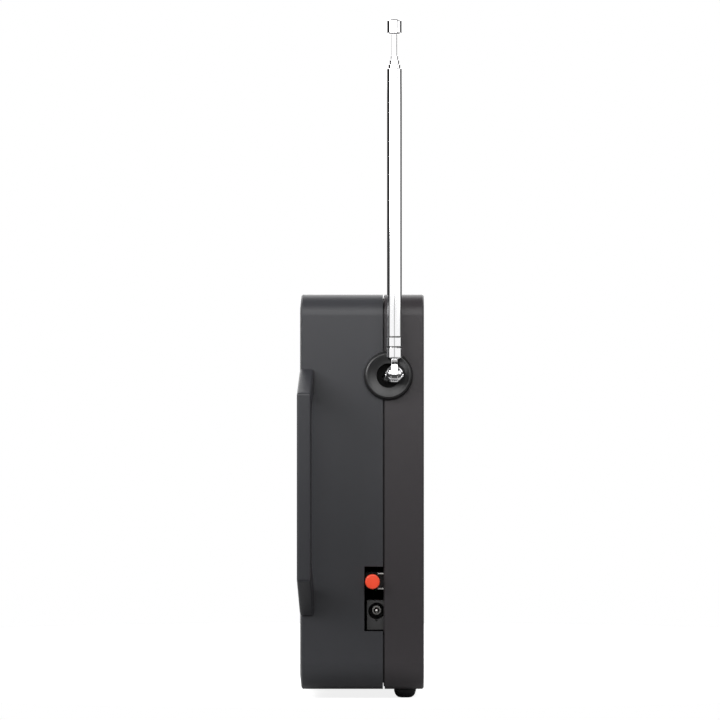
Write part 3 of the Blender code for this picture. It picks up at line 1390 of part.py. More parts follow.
def antenna_arm(base):
    """The knuckle that turns on the elbow pin, and the nested tubes that draw out of it."""
    elbow = empty("elbow_axis", ELBOW, parent=base)
    x, y, z = ELBOW
    start = FERRULE_START
    top = FERRULE_START + FERRULE_LENGTH
    bore = TUBE_RADII[0] - TUBE_WALLS[0]
    groove = FERRULE_RADIUS - FERRULE_GROOVE
    flat, slope = FERRULE_EDGES
    middle = start + FERRULE_LENGTH / 2
    profile = [
        (0, start - FERRULE_CONE),
        (TONGUE_THICKNESS / 2 + flat, start - FERRULE_CONE),
        (groove, start - flat),
        (FERRULE_RADIUS, start + flat),
        (FERRULE_RADIUS, middle - slope),
        (groove, middle - flat),
        (groove, middle + flat),
        (FERRULE_RADIUS, middle + slope),
        (FERRULE_RADIUS, top - slope),
        (groove, top - NUDGE),
        (groove, top),
        (bore - RUNNING, top),
        (bore - RUNNING, top + SPIGOT_LENGTH),
        (0, top + SPIGOT_LENGTH),
    ]
    knuckle = finish(
        turned(profile, "Z", ELBOW, ROUND), "antenna_knuckle", "chrome", pivot=ELBOW, parent=elbow
    )
    half = TONGUE_WIDTH / 2
    thick = TONGUE_THICKNESS / 2
    turns = [math.pi * k / EYE_STEPS for k in range(EYE_STEPS + 1)]
    root = z + start - 2 * GAP
    outline = [(x - TONGUE_EYE * math.cos(turn), z - TONGUE_EYE * math.sin(turn)) for turn in turns]
    outline += [(x + half, z + TONGUE_EYE), (x + half, root), (x - half, root), (x - half, z + TONGUE_EYE)]
    add_to(knuckle, slab(outline, y - thick, y + thick))
    cut_from(knuckle, rod(ELBOW_PIN_RADIUS + RUNNING, "Y", ELBOW, -2 * thick, 2 * thick, MID_ROUND))
    smooth(knuckle)

    antenna_tubes(elbow, z + top)


def antenna_tubes(carrier, ferrule_top):
    """The four tubes, each drawn out of the one before it, then the rod and its tip."""
    x, y, _ = ELBOW
    low = ferrule_top + TUBE_START
    high = ferrule_top + TUBE_LENGTH
    first_nest, nest_step = TUBE_NEST
    (shoulder, crown), (lip, lip_length) = TUBE_LIP
    for number, (radius, wall) in enumerate(zip(TUBE_RADII, TUBE_WALLS), start=1):
        inner = radius - wall
        profile = [
            (inner, low),
            (radius, low),
            (radius, high - lip_length),
            (radius - shoulder, high - crown),
            (radius - lip, high),
            (inner, high),
        ]
        tube = finish(
            turned(profile, "Z", (x, y, 0), ROUND, closed=True),
            f"antenna_tube_{number}",
            "chrome",
            pivot=(x, y, low),
            parent=carrier,
        )
        carrier = smooth(tube)
        low = ferrule_top + first_nest + number * nest_step
        high += TUBE_STEP
    rod_top = high - TUBE_STEP + ROD_SHOWING
    thin = rod(ROD_RADIUS, "Z", (x, y, 0), low, rod_top + ROD_IN_TIP, MID_ROUND)
    thin = smooth(finish(thin, "antenna_rod", "chrome", pivot=(x, y, low), parent=carrier))
    edge = TIP_EDGE
    hollow = ROD_RADIUS + RUNNING
    profile = [(0, TIP_BORE), (hollow, TIP_BORE), (hollow, 0), (TIP_RADIUS - edge, 0), (TIP_RADIUS, edge)]
    profile += [(TIP_RADIUS, TIP_LENGTH - edge), (TIP_RADIUS - edge, TIP_LENGTH), (0, TIP_LENGTH)]
    place = (x, y, rod_top)
    tip = turned(profile, "Z", place)
    smooth(finish(tip, "antenna_tip", "chrome", pivot=place, parent=thin))


def main():
    clear_scene()
    front_shell()
    rear_shell()
    grip(-1)
    grip(1)
    case_screws()
    front_feet()
    speaker_grille()
    loudspeaker()
    dial()
    band_switch()
    indicator_lamp()
    tuning_drive()
    volume_drive()
    boards()
    board_screws()
    power_switch()
    dc_jack()
    headphone_jack()
    ferrite_aerial()
    battery_bay()
    antenna_arm(antenna_base())


main()
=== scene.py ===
"""The finished look of a tabletop radio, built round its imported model.

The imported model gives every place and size. Each operator below dresses one piece, or one group of like
pieces, and the last one sets up the studio. Metres, +Z up; the front faces -Y and the antenna is at -X.
"""

import json
import math

import bmesh
import bpy
from bpy.props import FloatProperty, FloatVectorProperty, IntProperty, PointerProperty
from mathutils import Matrix, Vector


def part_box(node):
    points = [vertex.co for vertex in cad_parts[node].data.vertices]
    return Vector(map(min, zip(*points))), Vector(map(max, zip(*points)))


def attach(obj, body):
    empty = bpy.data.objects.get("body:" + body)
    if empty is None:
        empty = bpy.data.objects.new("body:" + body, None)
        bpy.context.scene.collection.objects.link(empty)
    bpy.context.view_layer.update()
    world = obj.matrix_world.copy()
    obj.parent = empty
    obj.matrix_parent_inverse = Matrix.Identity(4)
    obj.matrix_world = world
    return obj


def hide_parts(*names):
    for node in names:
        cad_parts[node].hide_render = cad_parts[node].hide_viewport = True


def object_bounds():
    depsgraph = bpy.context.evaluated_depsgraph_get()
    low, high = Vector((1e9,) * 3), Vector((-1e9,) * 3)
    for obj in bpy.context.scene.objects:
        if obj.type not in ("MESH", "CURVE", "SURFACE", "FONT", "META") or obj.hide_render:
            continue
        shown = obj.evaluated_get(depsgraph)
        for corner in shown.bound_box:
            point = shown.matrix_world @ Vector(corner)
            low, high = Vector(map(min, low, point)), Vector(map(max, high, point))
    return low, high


bl_info = {
    "name": "Tabletop radio",
    "version": (1, 0, 0),
    "blender": (4, 5, 0),
    "location": "View3D > Sidebar > Radio",
    "description": "Builds the finished look of a tabletop radio round its packed model",
    "category": "Object",
}

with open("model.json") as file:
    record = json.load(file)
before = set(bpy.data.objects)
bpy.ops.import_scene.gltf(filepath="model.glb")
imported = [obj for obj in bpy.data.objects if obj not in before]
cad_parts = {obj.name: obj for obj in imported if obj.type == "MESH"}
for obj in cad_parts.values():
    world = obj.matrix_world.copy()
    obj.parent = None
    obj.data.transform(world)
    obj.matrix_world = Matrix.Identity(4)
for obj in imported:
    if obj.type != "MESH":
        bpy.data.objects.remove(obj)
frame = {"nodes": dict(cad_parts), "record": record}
CAD_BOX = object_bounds()
RECORD = frame["record"]
BODY_OF = {node: body for body, nodes in RECORD["behaviour"]["bodies"].items() for node in nodes}

MM = 0.001
FULL_TURN = 2 * math.pi
MERGE = 2e-6
CLEARANCE = 0.3 * MM
INK_THICKNESS = 0.04 * MM
WHITE = (1.0, 1.0, 1.0)
AXES = {
    "X": Matrix(((0, 0, 1), (1, 0, 0), (0, 1, 0))),
    "Y": Matrix(((0, 1, 0), (0, 0, 1), (1, 0, 0))),
    "Z": Matrix.Identity(3),
}


# ---------------------------------------------------------------- node trees
class Socket:
    """The output of a node, with the arithmetic that finishes and trees are written in."""

    def __init__(self, nodes, link):
        self.nodes = nodes
        self.link = link

    def math(self, operation, *values):
        inputs = dict(enumerate(values))
        return self.nodes.node("ShaderNodeMath", {"operation": operation}, inputs)

    def __add__(self, other):
        return self.math("ADD", self, other)

    __radd__ = __add__

    def __sub__(self, other):
        return self.math("SUBTRACT", self, other)

    def __rsub__(self, other):
        return self.math("SUBTRACT", other, self)

    def __mul__(self, other):
        return self.math("MULTIPLY", self, other)

    __rmul__ = __mul__

    def __truediv__(self, other):
        return self.math("DIVIDE", self, other)

    def __pow__(self, other):
        return self.math("POWER", self, other)

    def __mod__(self, other):
        return self.math("FLOORED_MODULO", self, other)

    def __lt__(self, other):
        return self.math("LESS_THAN", self, other)

    def __gt__(self, other):
        return self.math("GREATER_THAN", self, other)

    def __abs__(self):
        return self.math("ABSOLUTE", self)

    def sine(self):
        return self.math("SINE", self)

    def floor(self):
        return self.math("FLOOR", self)


class Nodes:
    """A node tree that is written by calling node()."""

    def __init__(self, tree):
        self.tree = tree

    def node(self, kind, settings=None, inputs=None, output=0):
        """Adds a node: its settings first, then the values or links of its sockets."""
        made = self.tree.nodes.new(kind)
        for key, value in (settings or {}).items():
            if key == "stops":
                fill_ramp(made.color_ramp, value)
            else:
                setattr(made, key, value)
        for key, value in (inputs or {}).items():
            if isinstance(value, Socket):
                self.tree.links.new(value.link, made.inputs[key])
            else:
                made.inputs[key].default_value = value
        return Socket(self, made.outputs[output])

    def split(self, vector, axis):
        return self.node("ShaderNodeSeparateXYZ", inputs={0: vector}, output=axis)

    def ramp(self, factor, *stops):
        return self.node("ShaderNodeValToRGB", {"stops": stops}, {"Fac": factor})


def fill_ramp(ramp, stops):
    """Sets a ramp's stops, each a place with a grey or a colour."""
    while len(ramp.elements) < len(stops):
        ramp.elements.new(1)
    for element, (place, colour) in zip(ramp.elements, stops):
        element.position = place
        element.color = (colour,) * 3 + (1,) if isinstance(colour, (int, float)) else (*colour, 1)


class Finish(Nodes):
    """A material, with its patterns in object coordinates."""

    def __init__(self, name):
        self.material = bpy.data.materials.new(name)
        self.material.use_nodes = True
        super().__init__(self.material.node_tree)
        self.shader = self.tree.nodes["Principled BSDF"]
        self.place = self.node("ShaderNodeTexCoord", output="Object")

    def set(self, **values):
        """Sets or links sockets of the surface shader, such as base_color or roughness."""
        for key, value in values.items():
            socket = self.shader.inputs[key.replace("_", " ").title().replace("Ior", "IOR")]
            if isinstance(value, Socket):
                self.tree.links.new(value.link, socket)
            else:
                socket.default_value = (*value, 1) if isinstance(value, tuple) else value
        return self

    def axis(self, name):
        return self.split(self.place, name)

    def noise(self, size, detail=2.0, stretch=(1, 1, 1)):
        """Noise whose lumps are about this many metres across, drawn out by stretch."""
        scaled = self.node("ShaderNodeMapping", inputs={"Vector": self.place, "Scale": stretch})
        return self.node("ShaderNodeTexNoise", inputs={"Vector": scaled, "Scale": 1 / size, "Detail": detail})

    def blend(self, factor, first, second):
        """A colour between two colours."""
        mixed = {"data_type": "RGBA"}
        colours = {0: factor, 6: (*first, 1), 7: (*second, 1)}
        return self.node("ShaderNodeMix", mixed, colours, output=2)

    def bump(self, height, depth, strength=1.0):
        """Relief from a height between 0 and 1 that stands for this depth in metres."""
        relief = {"Height": height, "Distance": depth, "Strength": strength}
        self.set(normal=self.node("ShaderNodeBump", inputs=relief))
        return self


class Tree(Nodes):
    """A Geometry Nodes tree with named inputs."""

    KINDS = {float: "NodeSocketFloat", int: "NodeSocketInt", tuple: "NodeSocketVector"}

    def __init__(self, name, **defaults):
        super().__init__(bpy.data.node_groups.new(name, "GeometryNodeTree"))
        outline = self.tree.interface
        outline.new_socket("Geometry", in_out="INPUT", socket_type="NodeSocketGeometry")
        for label, default in defaults.items():
            made = outline.new_socket(label, in_out="INPUT", socket_type=self.KINDS[type(default)])
            made.default_value = default
        outline.new_socket("instance", in_out="INPUT", socket_type="NodeSocketObject")
        outline.new_socket("material", in_out="INPUT", socket_type="NodeSocketMaterial")
        outline.new_socket("Geometry", in_out="OUTPUT", socket_type="NodeSocketGeometry")
        self.source = self.tree.nodes.new("NodeGroupInput")
        self.sink = self.tree.nodes.new("NodeGroupOutput")

    def input(self, label):
        return Socket(self, self.source.outputs[label])

    def vector(self, x=0, y=0, z=0):
        return self.node("ShaderNodeCombineXYZ", inputs={0: x, 1: y, 2: z})

    def join(self, *parts):
        made = self.tree.nodes.new("GeometryNodeJoinGeometry")
        for part in parts:
            self.tree.links.new(part.link, made.inputs[0])
        return Socket(self, made.outputs[0])

    def end(self, geometry):
        """Ends the tree: real geometry in one material."""
        real = self.node("GeometryNodeRealizeInstances", inputs={0: geometry})
        coated = self.node(
            "GeometryNodeSetMaterial", inputs={"Geometry": real, "Material": self.input("material")}
        )
        self.tree.links.new(coated.link, self.sink.inputs[0])
        return self

    def grow(self, name, material, points=(), **values):
        """Runs the tree once, on these points, and keeps the result as a plain mesh."""
        mesh = bpy.data.meshes.new(name)
        mesh.from_pydata([tuple(point) for point in points], [], [])
        made = show(bpy.data.objects.new(name, mesh))
        modifier = made.modifiers.new(name, "NODES")
        modifier.node_group = self.tree
        values["material"] = material
        for item in self.tree.interface.items_tree:
            if item.in_out == "INPUT" and item.name in values:
                modifier[item.identifier] = values[item.name]
        return applied(made)


# ---------------------------------------------------------------- mesh tools
def show(made):
    bpy.context.scene.collection.objects.link(made)
    return made


def drop(made):
    bpy.data.objects.remove(made, do_unlink=True)


def evaluated(made):
    """The object as it is with its modifiers, as a new mesh."""
    return bpy.data.meshes.new_from_object(made.evaluated_get(bpy.context.evaluated_depsgraph_get()))


def applied(made):
    """The object with its modifiers made part of its mesh."""
    mesh = evaluated(made)
    made.modifiers.clear()
    made.data = mesh
    return made


def shade(mesh):
    """Smooth shading that stays sharp at the real edges."""
    mesh.shade_smooth()
    mesh.set_sharp_from_angle(angle=math.radians(35))


def piece(name, bm, material):
    """A mesh as a new object at the origin, with its faces outwards and its round parts smooth."""
    bmesh.ops.remove_doubles(bm, verts=bm.verts, dist=MERGE / 2)
    bmesh.ops.recalc_face_normals(bm, faces=bm.faces)
    mesh = bpy.data.meshes.new(name)
    bm.to_mesh(mesh)
    bm.free()
    shade(mesh)
    mesh.materials.append(material)
    return show(bpy.data.objects.new(name, mesh))


def merged_copy(node):
    """A CAD node's shape with its loose triangles joined and its flat faces made whole."""
    bm = bmesh.new()
    bm.from_mesh(frame["nodes"][node].data)
    bmesh.ops.remove_doubles(bm, verts=bm.verts, dist=MERGE)
    bmesh.ops.dissolve_limit(bm, angle_limit=math.radians(0.5), verts=bm.verts, edges=bm.edges)
    return bm


def soften(made, width, segments=2, angle=30):
    """Rounds the piece's edges."""
    edge = made.modifiers.new("edges", "BEVEL")
    edge.width = width
    edge.segments = segments
    edge.limit_method = "ANGLE"
    edge.angle_limit = math.radians(angle)
    edge.miter_outer = "MITER_ARC"
    return even(made)


def even(made):
    """Keeps the shading of large faces flat next to small ones."""
    shading = made.modifiers.new("even shading", "WEIGHTED_NORMAL")
    shading.weight = 100
    shading.keep_sharp = True
    return made


def stands_for(made, *nodes):
    """The piece takes the place of these CAD nodes, on their body."""
    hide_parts(*nodes)
    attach(made, BODY_OF[nodes[0]])
    return made


def detail_on(made, node):
    """The piece is small detail on a CAD node: it moves with it and takes a finish of its own."""
    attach(made, BODY_OF[node])
    return made


def coat(material, *nodes):
    """Puts a finish on CAD nodes whose shape stays as it is."""
    for node in nodes:
        for held in frame["nodes"][node].material_slots:
            held.material = material


def refined(node, material, width, angle=30):
    """The CAD node again, with its edges rounded."""
    made = soften(piece(f"{node}_finished", merged_copy(node), material), width, angle=angle)
    return stands_for(made, node)


def turned(profile, axis, centre, steps=72, closed=False):
    """Spins (radius, place along the axis) points round an axis through centre."""
    bm = bmesh.new()
    turn = AXES[axis]
    points = [bm.verts.new(turn @ Vector((radius, 0, along)) + Vector(centre)) for radius, along in profile]
    edges = [bm.edges.new(pair) for pair in zip(points, points[1:])]
    if closed:
        edges.append(bm.edges.new((points[-1], points[0])))
    bmesh.ops.spin(
        bm,
        geom=points + edges,
        cent=centre,
        axis=turn @ Vector((0, 0, 1)),
        angle=FULL_TURN,
        steps=steps,
        use_merge=True,
    )
    return bm


def turned_for(node, name, axis, profile, material, steps=72, closed=False, level=False):
    """A spun piece that takes the place of a CAD node, round the node's own axis."""
    centre = middle(node)
    centre["XYZ".index(axis)] = 0
    made = piece(name, turned(profile, axis, centre, steps, closed), material)
    if level:
        even(made)
    return stands_for(made, node)


def arc(centre, radius, start, end, steps=6):
    """Points of a profile along a round corner, with angles in degrees."""
    turns = [math.radians(start + (end - start) * k / steps) for k in range(steps + 1)]
    return [(centre[0] + radius * math.cos(turn), centre[1] + radius * math.sin(turn)) for turn in turns]


def rounded_outline(low, high, radius):
    """A rectangle from low to high, in (x, z), with round corners."""
    steps = 8
    corners = (
        ((high[0] - radius, low[1] + radius), -90),
        ((high[0] - radius, high[1] - radius), 0),
        ((low[0] + radius, high[1] - radius), 90),
        ((low[0] + radius, low[1] + radius), 180),
    )
    return [point for centre, start in corners for point in arc(centre, radius, start, start + 90, steps)]


def middle(node):
    low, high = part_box(node)
    return (Vector(low) + Vector(high)) / 2


def span(node):
    low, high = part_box(node)
    return Vector(high) - Vector(low)


# ---------------------------------------------------------------- finishes
ALONG_X = (0.15, 1, 1)
ALONG_Z = (1, 1, 0.03)
CHROME_COLOUR = (0.93, 0.93, 0.94)
WIRE = 0.4 * MM


def times(colour, share):
    """A lighter or darker shade of a colour."""
    return tuple(share * part for part in colour)


def moulded(name, colour, roughness):
    """Satin moulded plastic: a fine spark-eroded grain and slightly uneven gloss."""
    finish = Finish(name)
    lumps = finish.noise(0.35 * MM, 3.0)
    patches = finish.noise(35 * MM, 3.0)
    finish.set(base_color=finish.blend(patches, colour, times(colour, 1.12)))
    finish.set(roughness=patches * 0.06 + lumps * 0.05 + (roughness - 0.055))
    finish.set(specular_ior_level=0.42)
    return finish.bump(lumps, 0.012 * MM).material


def gloss_plastic(name, colour, roughness):
    """Polished moulded plastic with faint flow marks."""
    finish = Finish(name)
    flow = finish.noise(9 * MM, 2.0)
    finish.set(base_color=finish.blend(flow, colour, times(colour, 1.2)))
    finish.set(roughness=flow * 0.06 + (roughness - 0.03))
    return finish.bump(flow, 0.02 * MM, 0.4).material


def turret_plastic(centre, hole):
    """Half-gloss black; matt in the hole, where the colour is painted near black as shade."""
    finish = Finish("turret_plastic")
    y = finish.axis("Y") - centre.y
    z = finish.axis("Z") - centre.z
    wall = 0.05 * MM
    inside = (y * y + z * z) ** 0.5 < hole + wall
    flow = finish.noise(6 * MM, 2.0)
    # painted shade: the wall of the hole is coloured near black, as if in shadow
    finish.set(base_color=finish.blend(inside, (0.014, 0.014, 0.0145), (0.001, 0.001, 0.001)))
    finish.set(roughness=inside * 0.55 + flow * 0.08 + 0.3)
    return finish.bump(flow, 0.02 * MM, 0.4).material


def bracket_steel(edge):
    """A steel plate that stays bright up to this X and is painted dark as shade beyond it, deeper in the
    cut-out.
    """
    finish = Finish("bracket_steel")
    bright = finish.axis("X") < edge
    streaks = finish.noise(0.8 * MM, 3.0, ALONG_X)
    # painted shade: beyond the edge the plate is coloured near black and made less metallic
    finish.set(base_color=finish.blend(bright, (0.02, 0.02, 0.02), (0.8, 0.79, 0.76)))
    finish.set(metallic=bright * 0.9 + 0.1, roughness=streaks * 0.14 + 0.2)
    return finish.bump(streaks, 0.01 * MM).material


def chrome(name, rings=(), half=0.0):
    """Bright plate with the faint draw marks of the tubes, and painted shade in the grooves at these heights.
    """
    finish = Finish(name)
    drawn = finish.noise(0.4 * MM, 2.0, ALONG_Z)
    finish.set(base_color=CHROME_COLOUR, metallic=1.0, roughness=drawn * 0.04 + 0.03)
    if rings:
        z = finish.axis("Z")
        marks = sum(abs(z - ring) < half for ring in rings)
        # painted shade: the grooves are coloured dark grey, as if shaded
        finish.set(base_color=finish.blend(marks, CHROME_COLOUR, (0.25, 0.25, 0.25)))
    return finish.material


def zinc_steel(name, colour=(0.66, 0.66, 0.63), roughness=0.28):
    """Plated steel with short streaks from rolling."""
    finish = Finish(name)
    streaks = finish.noise(0.8 * MM, 3.0, ALONG_X)
    finish.set(base_color=finish.blend(streaks, colour, times(colour, 0.8)))
    finish.set(metallic=1.0, roughness=streaks * 0.14 + (roughness - 0.07))
    return finish.bump(streaks, 0.01 * MM).material


def foot_rubber():
    """Matt black rubber that has picked up a little dust."""
    finish = Finish("foot_rubber")
    dust = finish.noise(0.7 * MM, 3.0)
    finish.set(base_color=finish.blend(dust, (0.006, 0.006, 0.007), (0.014, 0.014, 0.015)))
    finish.set(roughness=dust * 0.2 + 0.5, specular_ior_level=0.3)
    return finish.bump(dust, 0.03 * MM).material


def red_cap(colour):
    """Coloured plastic with a slight haze and a fine grain."""
    finish = Finish("red_cap_plastic")
    haze = finish.noise(3 * MM, 2.0)
    finish.set(base_color=finish.blend(haze, colour, times(colour, 0.92)))
    finish.set(roughness=haze * 0.08 + 0.3)
    return finish.bump(finish.noise(0.3 * MM), 0.008 * MM).material


def painted_mesh(colour):
    """Powder-coated perforated sheet."""
    finish = Finish("grille_paint")
    orange_peel = finish.noise(0.5 * MM, 2.0)
    finish.set(base_color=finish.blend(orange_peel, colour, times(colour, 1.3)))
    finish.set(roughness=orange_peel * 0.1 + 0.38)
    return finish.bump(orange_peel, 0.02 * MM).material


def clear_acrylic():
    """A clear window: it mirrors more the flatter it is looked at, and is see-through otherwise."""
    finish = Finish("clear_acrylic")
    facing = finish.node("ShaderNodeLayerWeight", inputs={"Blend": 0.5}, output="Facing")
    haze = finish.noise(20 * MM, 2.0)
    finish.set(base_color=WHITE, metallic=1.0, roughness=haze * 0.02 + 0.02)
    finish.set(alpha=facing**5 * 0.9 + 0.06)
    return finish.material


def dial_card():
    """Cream card with short fibres."""
    finish = Finish("dial_card")
    fibres = finish.noise(1.2 * MM, 3.0)
    finish.set(base_color=finish.blend(fibres, (0.80, 0.76, 0.62), (0.72, 0.68, 0.53)), roughness=0.6)
    return finish.bump(fibres, 0.01 * MM).material


def printed_ink(colour):
    """Screen print that covers unevenly."""
    finish = Finish("dial_ink")
    cover = finish.noise(0.6 * MM, 2.0)
    finish.set(base_color=finish.blend(cover, colour, times(colour, 1.5)), roughness=0.5)
    return finish.material


def paper_cone():
    """Pressed paper with rings round the loudspeaker's axis."""
    finish = Finish("paper_cone")
    centre = middle("speaker_cone")
    x = finish.axis("X") - centre.x
    z = finish.axis("Z") - centre.z
    radius = (x * x + z * z) ** 0.5
    rings = (radius * (FULL_TURN / (2.2 * MM))).sine()
    fibres = finish.noise(0.8 * MM, 4.0)
    finish.set(base_color=finish.blend(fibres, (0.025, 0.024, 0.023), (0.06, 0.058, 0.055)), roughness=0.85)
    return finish.bump(rings * 0.5 + fibres * 0.5, 0.12 * MM).material


def circuit_board():
    """Solder mask over copper runs, seen as lighter lines."""
    finish = Finish("circuit_board")
    cells = finish.node(
        "ShaderNodeTexVoronoi",
        {"distance": "MANHATTAN", "feature": "F1"},
        {"Vector": finish.place, "Scale": 1 / (5 * MM), "Randomness": 0.6},
        output="Distance",
    )
    runs = (cells * 9).sine()
    tracks = finish.node("ShaderNodeMath", {"operation": "SMOOTH_MIN"}, {0: runs * 4, 1: 1.0, 2: 0.2})
    finish.set(base_color=finish.blend(tracks, (0.012, 0.075, 0.03), (0.03, 0.17, 0.07)), roughness=0.3)
    return finish.bump(tracks, 0.03 * MM).material


def ferrite():
    """Dark sintered ceramic."""
    finish = Finish("ferrite")
    grit = finish.noise(0.5 * MM, 4.0)
    finish.set(base_color=finish.blend(grit, (0.03, 0.028, 0.028), (0.07, 0.062, 0.06)), roughness=0.55)
    return finish.bump(grit, 0.04 * MM).material


def copper_winding():
    """Turns of enamelled wire, side by side along X, with painted shade in the grooves between turns."""
    finish = Finish("copper_winding")
    turns = (finish.axis("X") * (FULL_TURN / WIRE)).sine() * 0.5 + 0.5
    # painted shade: the copper colour is darker in the grooves between turns and lighter on their crowns
    finish.set(base_color=finish.blend(turns, (0.25, 0.09, 0.03), (0.75, 0.34, 0.15)))
    finish.set(metallic=0.9, roughness=0.32)
    return finish.bump(turns, 0.1 * MM).material


# ---------------------------------------------------------------- sizes and colours
def length(name, description, default):
    """A setting in metres."""
    return FloatProperty(name=name, description=description, default=default, unit="LENGTH")


def colour(name, description, default):
    """A setting that is a colour."""
    return FloatVectorProperty(name=name, description=description, default=default, subtype="COLOR")


class CabinetLook(bpy.types.PropertyGroup):
    edge: length("Edge radius", "Round on the moulded edges", 0.3 * MM)
    rear_colour: colour("Rear shell", "Colour of the rear shell", (0.027, 0.0275, 0.031))
    front_colour: colour("Front shell", "Colour of the front shell", (0.028, 0.0245, 0.0268))
    roughness: FloatProperty(
        name="Roughness", description="Gloss of the satin plastic", subtype="FACTOR", default=0.42
    )


class GrilleLook(bpy.types.PropertyGroup):
    pitch: length("Pitch", "Distance between holes", 3.2 * MM)
    hole: length("Hole radius", "Radius of each hole", 1.1 * MM)
    border: length("Border", "Plain strip round the holes", 4 * MM)
    corner: length("Corner", "Radius of the sheet's corners", 4.7 * MM)
    rim: length("Rim width", "Width of the raised rim", 2.2 * MM)
    rim_height: length("Rim height", "How far the rim stands proud", 0.25 * MM)
    paint: colour("Paint", "Colour of the perforated sheet", (0.022, 0.022, 0.024))


class DialLook(bpy.types.PropertyGroup):
    tick: length("Tick length", "Length of a long mark", 4 * MM)
    digit: length("Digit height", "Height of the dial's numbers", 3.6 * MM)
    ink: colour("Ink", "Colour of the print", (0.02, 0.02, 0.025))


class ControlLook(bpy.types.PropertyGroup):
    cap_colour: colour("Button", "Colour of the power button", (0.95, 0.08, 0.03))
    ribs: IntProperty(name="Ribs", description="Ribs on the band switch", default=5)


class StudioLook(bpy.types.PropertyGroup):
    distance: length("Distance", "Camera to the end wall", 2.0)
    panel: FloatProperty(
        name="Panel light", description="Power of the panels by the antenna's end", default=1.75, unit="POWER"
    )
    side_panel: FloatProperty(
        name="Side light", description="Power of the panel to the rear", default=2.6, unit="POWER"
    )
    overhead: FloatProperty(
        name="Overhead light", description="Strength of the soft light from above", default=1.25
    )


# ---------------------------------------------------------------- operators
class RADIO_OT_shells(bpy.types.Operator):
    """The two halves of the cabinet, in satin plastic with rounded edges"""

    bl_idname = "radio.shells"
    bl_label = "Cabinet shells"

    def execute(self, context):
        look = context.scene.radio_cabinet
        rear = moulded("rear_shell_plastic", tuple(look.rear_colour), look.roughness)
        front = moulded("front_shell_plastic", tuple(look.front_colour), look.roughness)
        refined("rear_shell", rear, look.edge)
        refined("front_shell", front, look.edge)
        return {"FINISHED"}


class RADIO_OT_grips(bpy.types.Operator):
    """The bridge grips on the two end walls"""

    bl_idname = "radio.grips"
    bl_label = "Grips"

    def execute(self, context):
        look = context.scene.radio_cabinet
        material = moulded("grip_plastic", tuple(look.rear_colour), look.roughness - 0.04)
        for node in ("left_grip", "right_grip"):
            refined(node, material, look.edge / 3, angle=50)
        return {"FINISHED"}


class RADIO_OT_feet(bpy.types.Operator):
    """The domed rubber feet under the front shell"""

    bl_idname = "radio.feet"
    bl_label = "Feet"

    FLAT = 1.8 * MM
    STEM = 1.6 * MM
    STEM_LENGTH = 2.6 * MM
    BARB = 0.7 * MM
    STEPS = 18

    def execute(self, context):
        material = foot_rubber()
        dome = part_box("front_shell")[0][2] - CLEARANCE
        barb = dome + self.STEM_LENGTH
        for node in ("left_foot", "right_foot"):
            low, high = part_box(node)
            round_part = (high[0] - low[0]) / 2 - self.FLAT
            profile = [(0, 0)]
            for k in range(self.STEPS + 1):
                turn = math.radians(90 / self.STEPS * k)
                profile.append((self.FLAT + round_part * math.sin(turn), dome * (1 - math.cos(turn))))
            profile += [(self.STEM, dome), (self.STEM, barb), (self.STEM + self.BARB, barb)]
            profile += [(self.STEM, high[2]), (0, high[2])]
            turned_for(node, f"{node}_dome", "Z", profile, material, 64)
        return {"FINISHED"}


def perforated_plate():
    """A flat sheet with round corners and staggered round holes, facing -Y."""
    tree = Tree(
        "perforated_plate",
        width=0.2,
        height=0.08,
        corner=0.005,
        thickness=0.001,
        pitch=0.0032,
        hole=0.0011,
        border=0.004,
        place=(0.0, 0.0, 0.0),
    )
    pitch, hole = tree.input("pitch"), tree.input("hole")
    width, height = tree.input("width"), tree.input("height")
    rise = pitch * math.sqrt(0.75)
    columns = (width / pitch).floor()
    rows = (height / rise).floor()
    grid = tree.node(
        "GeometryNodeMeshGrid",
        inputs={
            "Size X": (columns - 1) * pitch,
            "Size Y": (rows - 1) * rise,
            "Vertices X": columns,
            "Vertices Y": rows,
        },
    )
    index = tree.node("GeometryNodeInputIndex")
    shift = (index % rows) % 2 * pitch / 2 - pitch / 4
    staggered = tree.node(
        "GeometryNodeSetPosition", inputs={"Geometry": grid, "Offset": tree.vector(x=shift)}
    )
    place = tree.node("GeometryNodeInputPosition")
    x, y = tree.split(place, "X"), tree.split(place, "Y")
    reach = hole + tree.input("border")
    outside = (abs(x) > width / 2 - reach) + (abs(y) > height / 2 - reach)
    kept = tree.node("GeometryNodeDeleteGeometry", inputs={"Geometry": staggered, "Selection": outside > 0})
    circle = tree.node("GeometryNodeCurvePrimitiveCircle", inputs={"Resolution": 8, "Radius": hole})
    holes = tree.node("GeometryNodeInstanceOnPoints", inputs={"Points": kept, "Instance": circle})
    holes = tree.node("GeometryNodeRealizeInstances", inputs={0: holes})
    outline = tree.node("GeometryNodeCurvePrimitiveQuadrilateral", inputs={"Width": width, "Height": height})
    outline = tree.node(
        "GeometryNodeFilletCurve",
        {"mode": "POLY"},
        {"Curve": outline, "Radius": tree.input("corner"), "Count": 8},
    )
    sheet = tree.node("GeometryNodeFillCurve", inputs={"Curve": tree.join(holes, outline)})
    raised = tree.node(
        "GeometryNodeExtrudeMesh",
        inputs={"Mesh": sheet, "Offset Scale": tree.input("thickness"), "Individual": False},
    )
    back = tree.node("GeometryNodeFlipFaces", inputs={0: sheet})
    solid = tree.node("GeometryNodeMergeByDistance", inputs={0: tree.join(raised, back), "Distance": 1e-6})
    placed = tree.node(
        "GeometryNodeTransform",
        inputs={"Geometry": solid, "Translation": tree.input("place"), "Rotation": (math.pi / 2, 0, 0)},
    )
    return tree.end(placed)


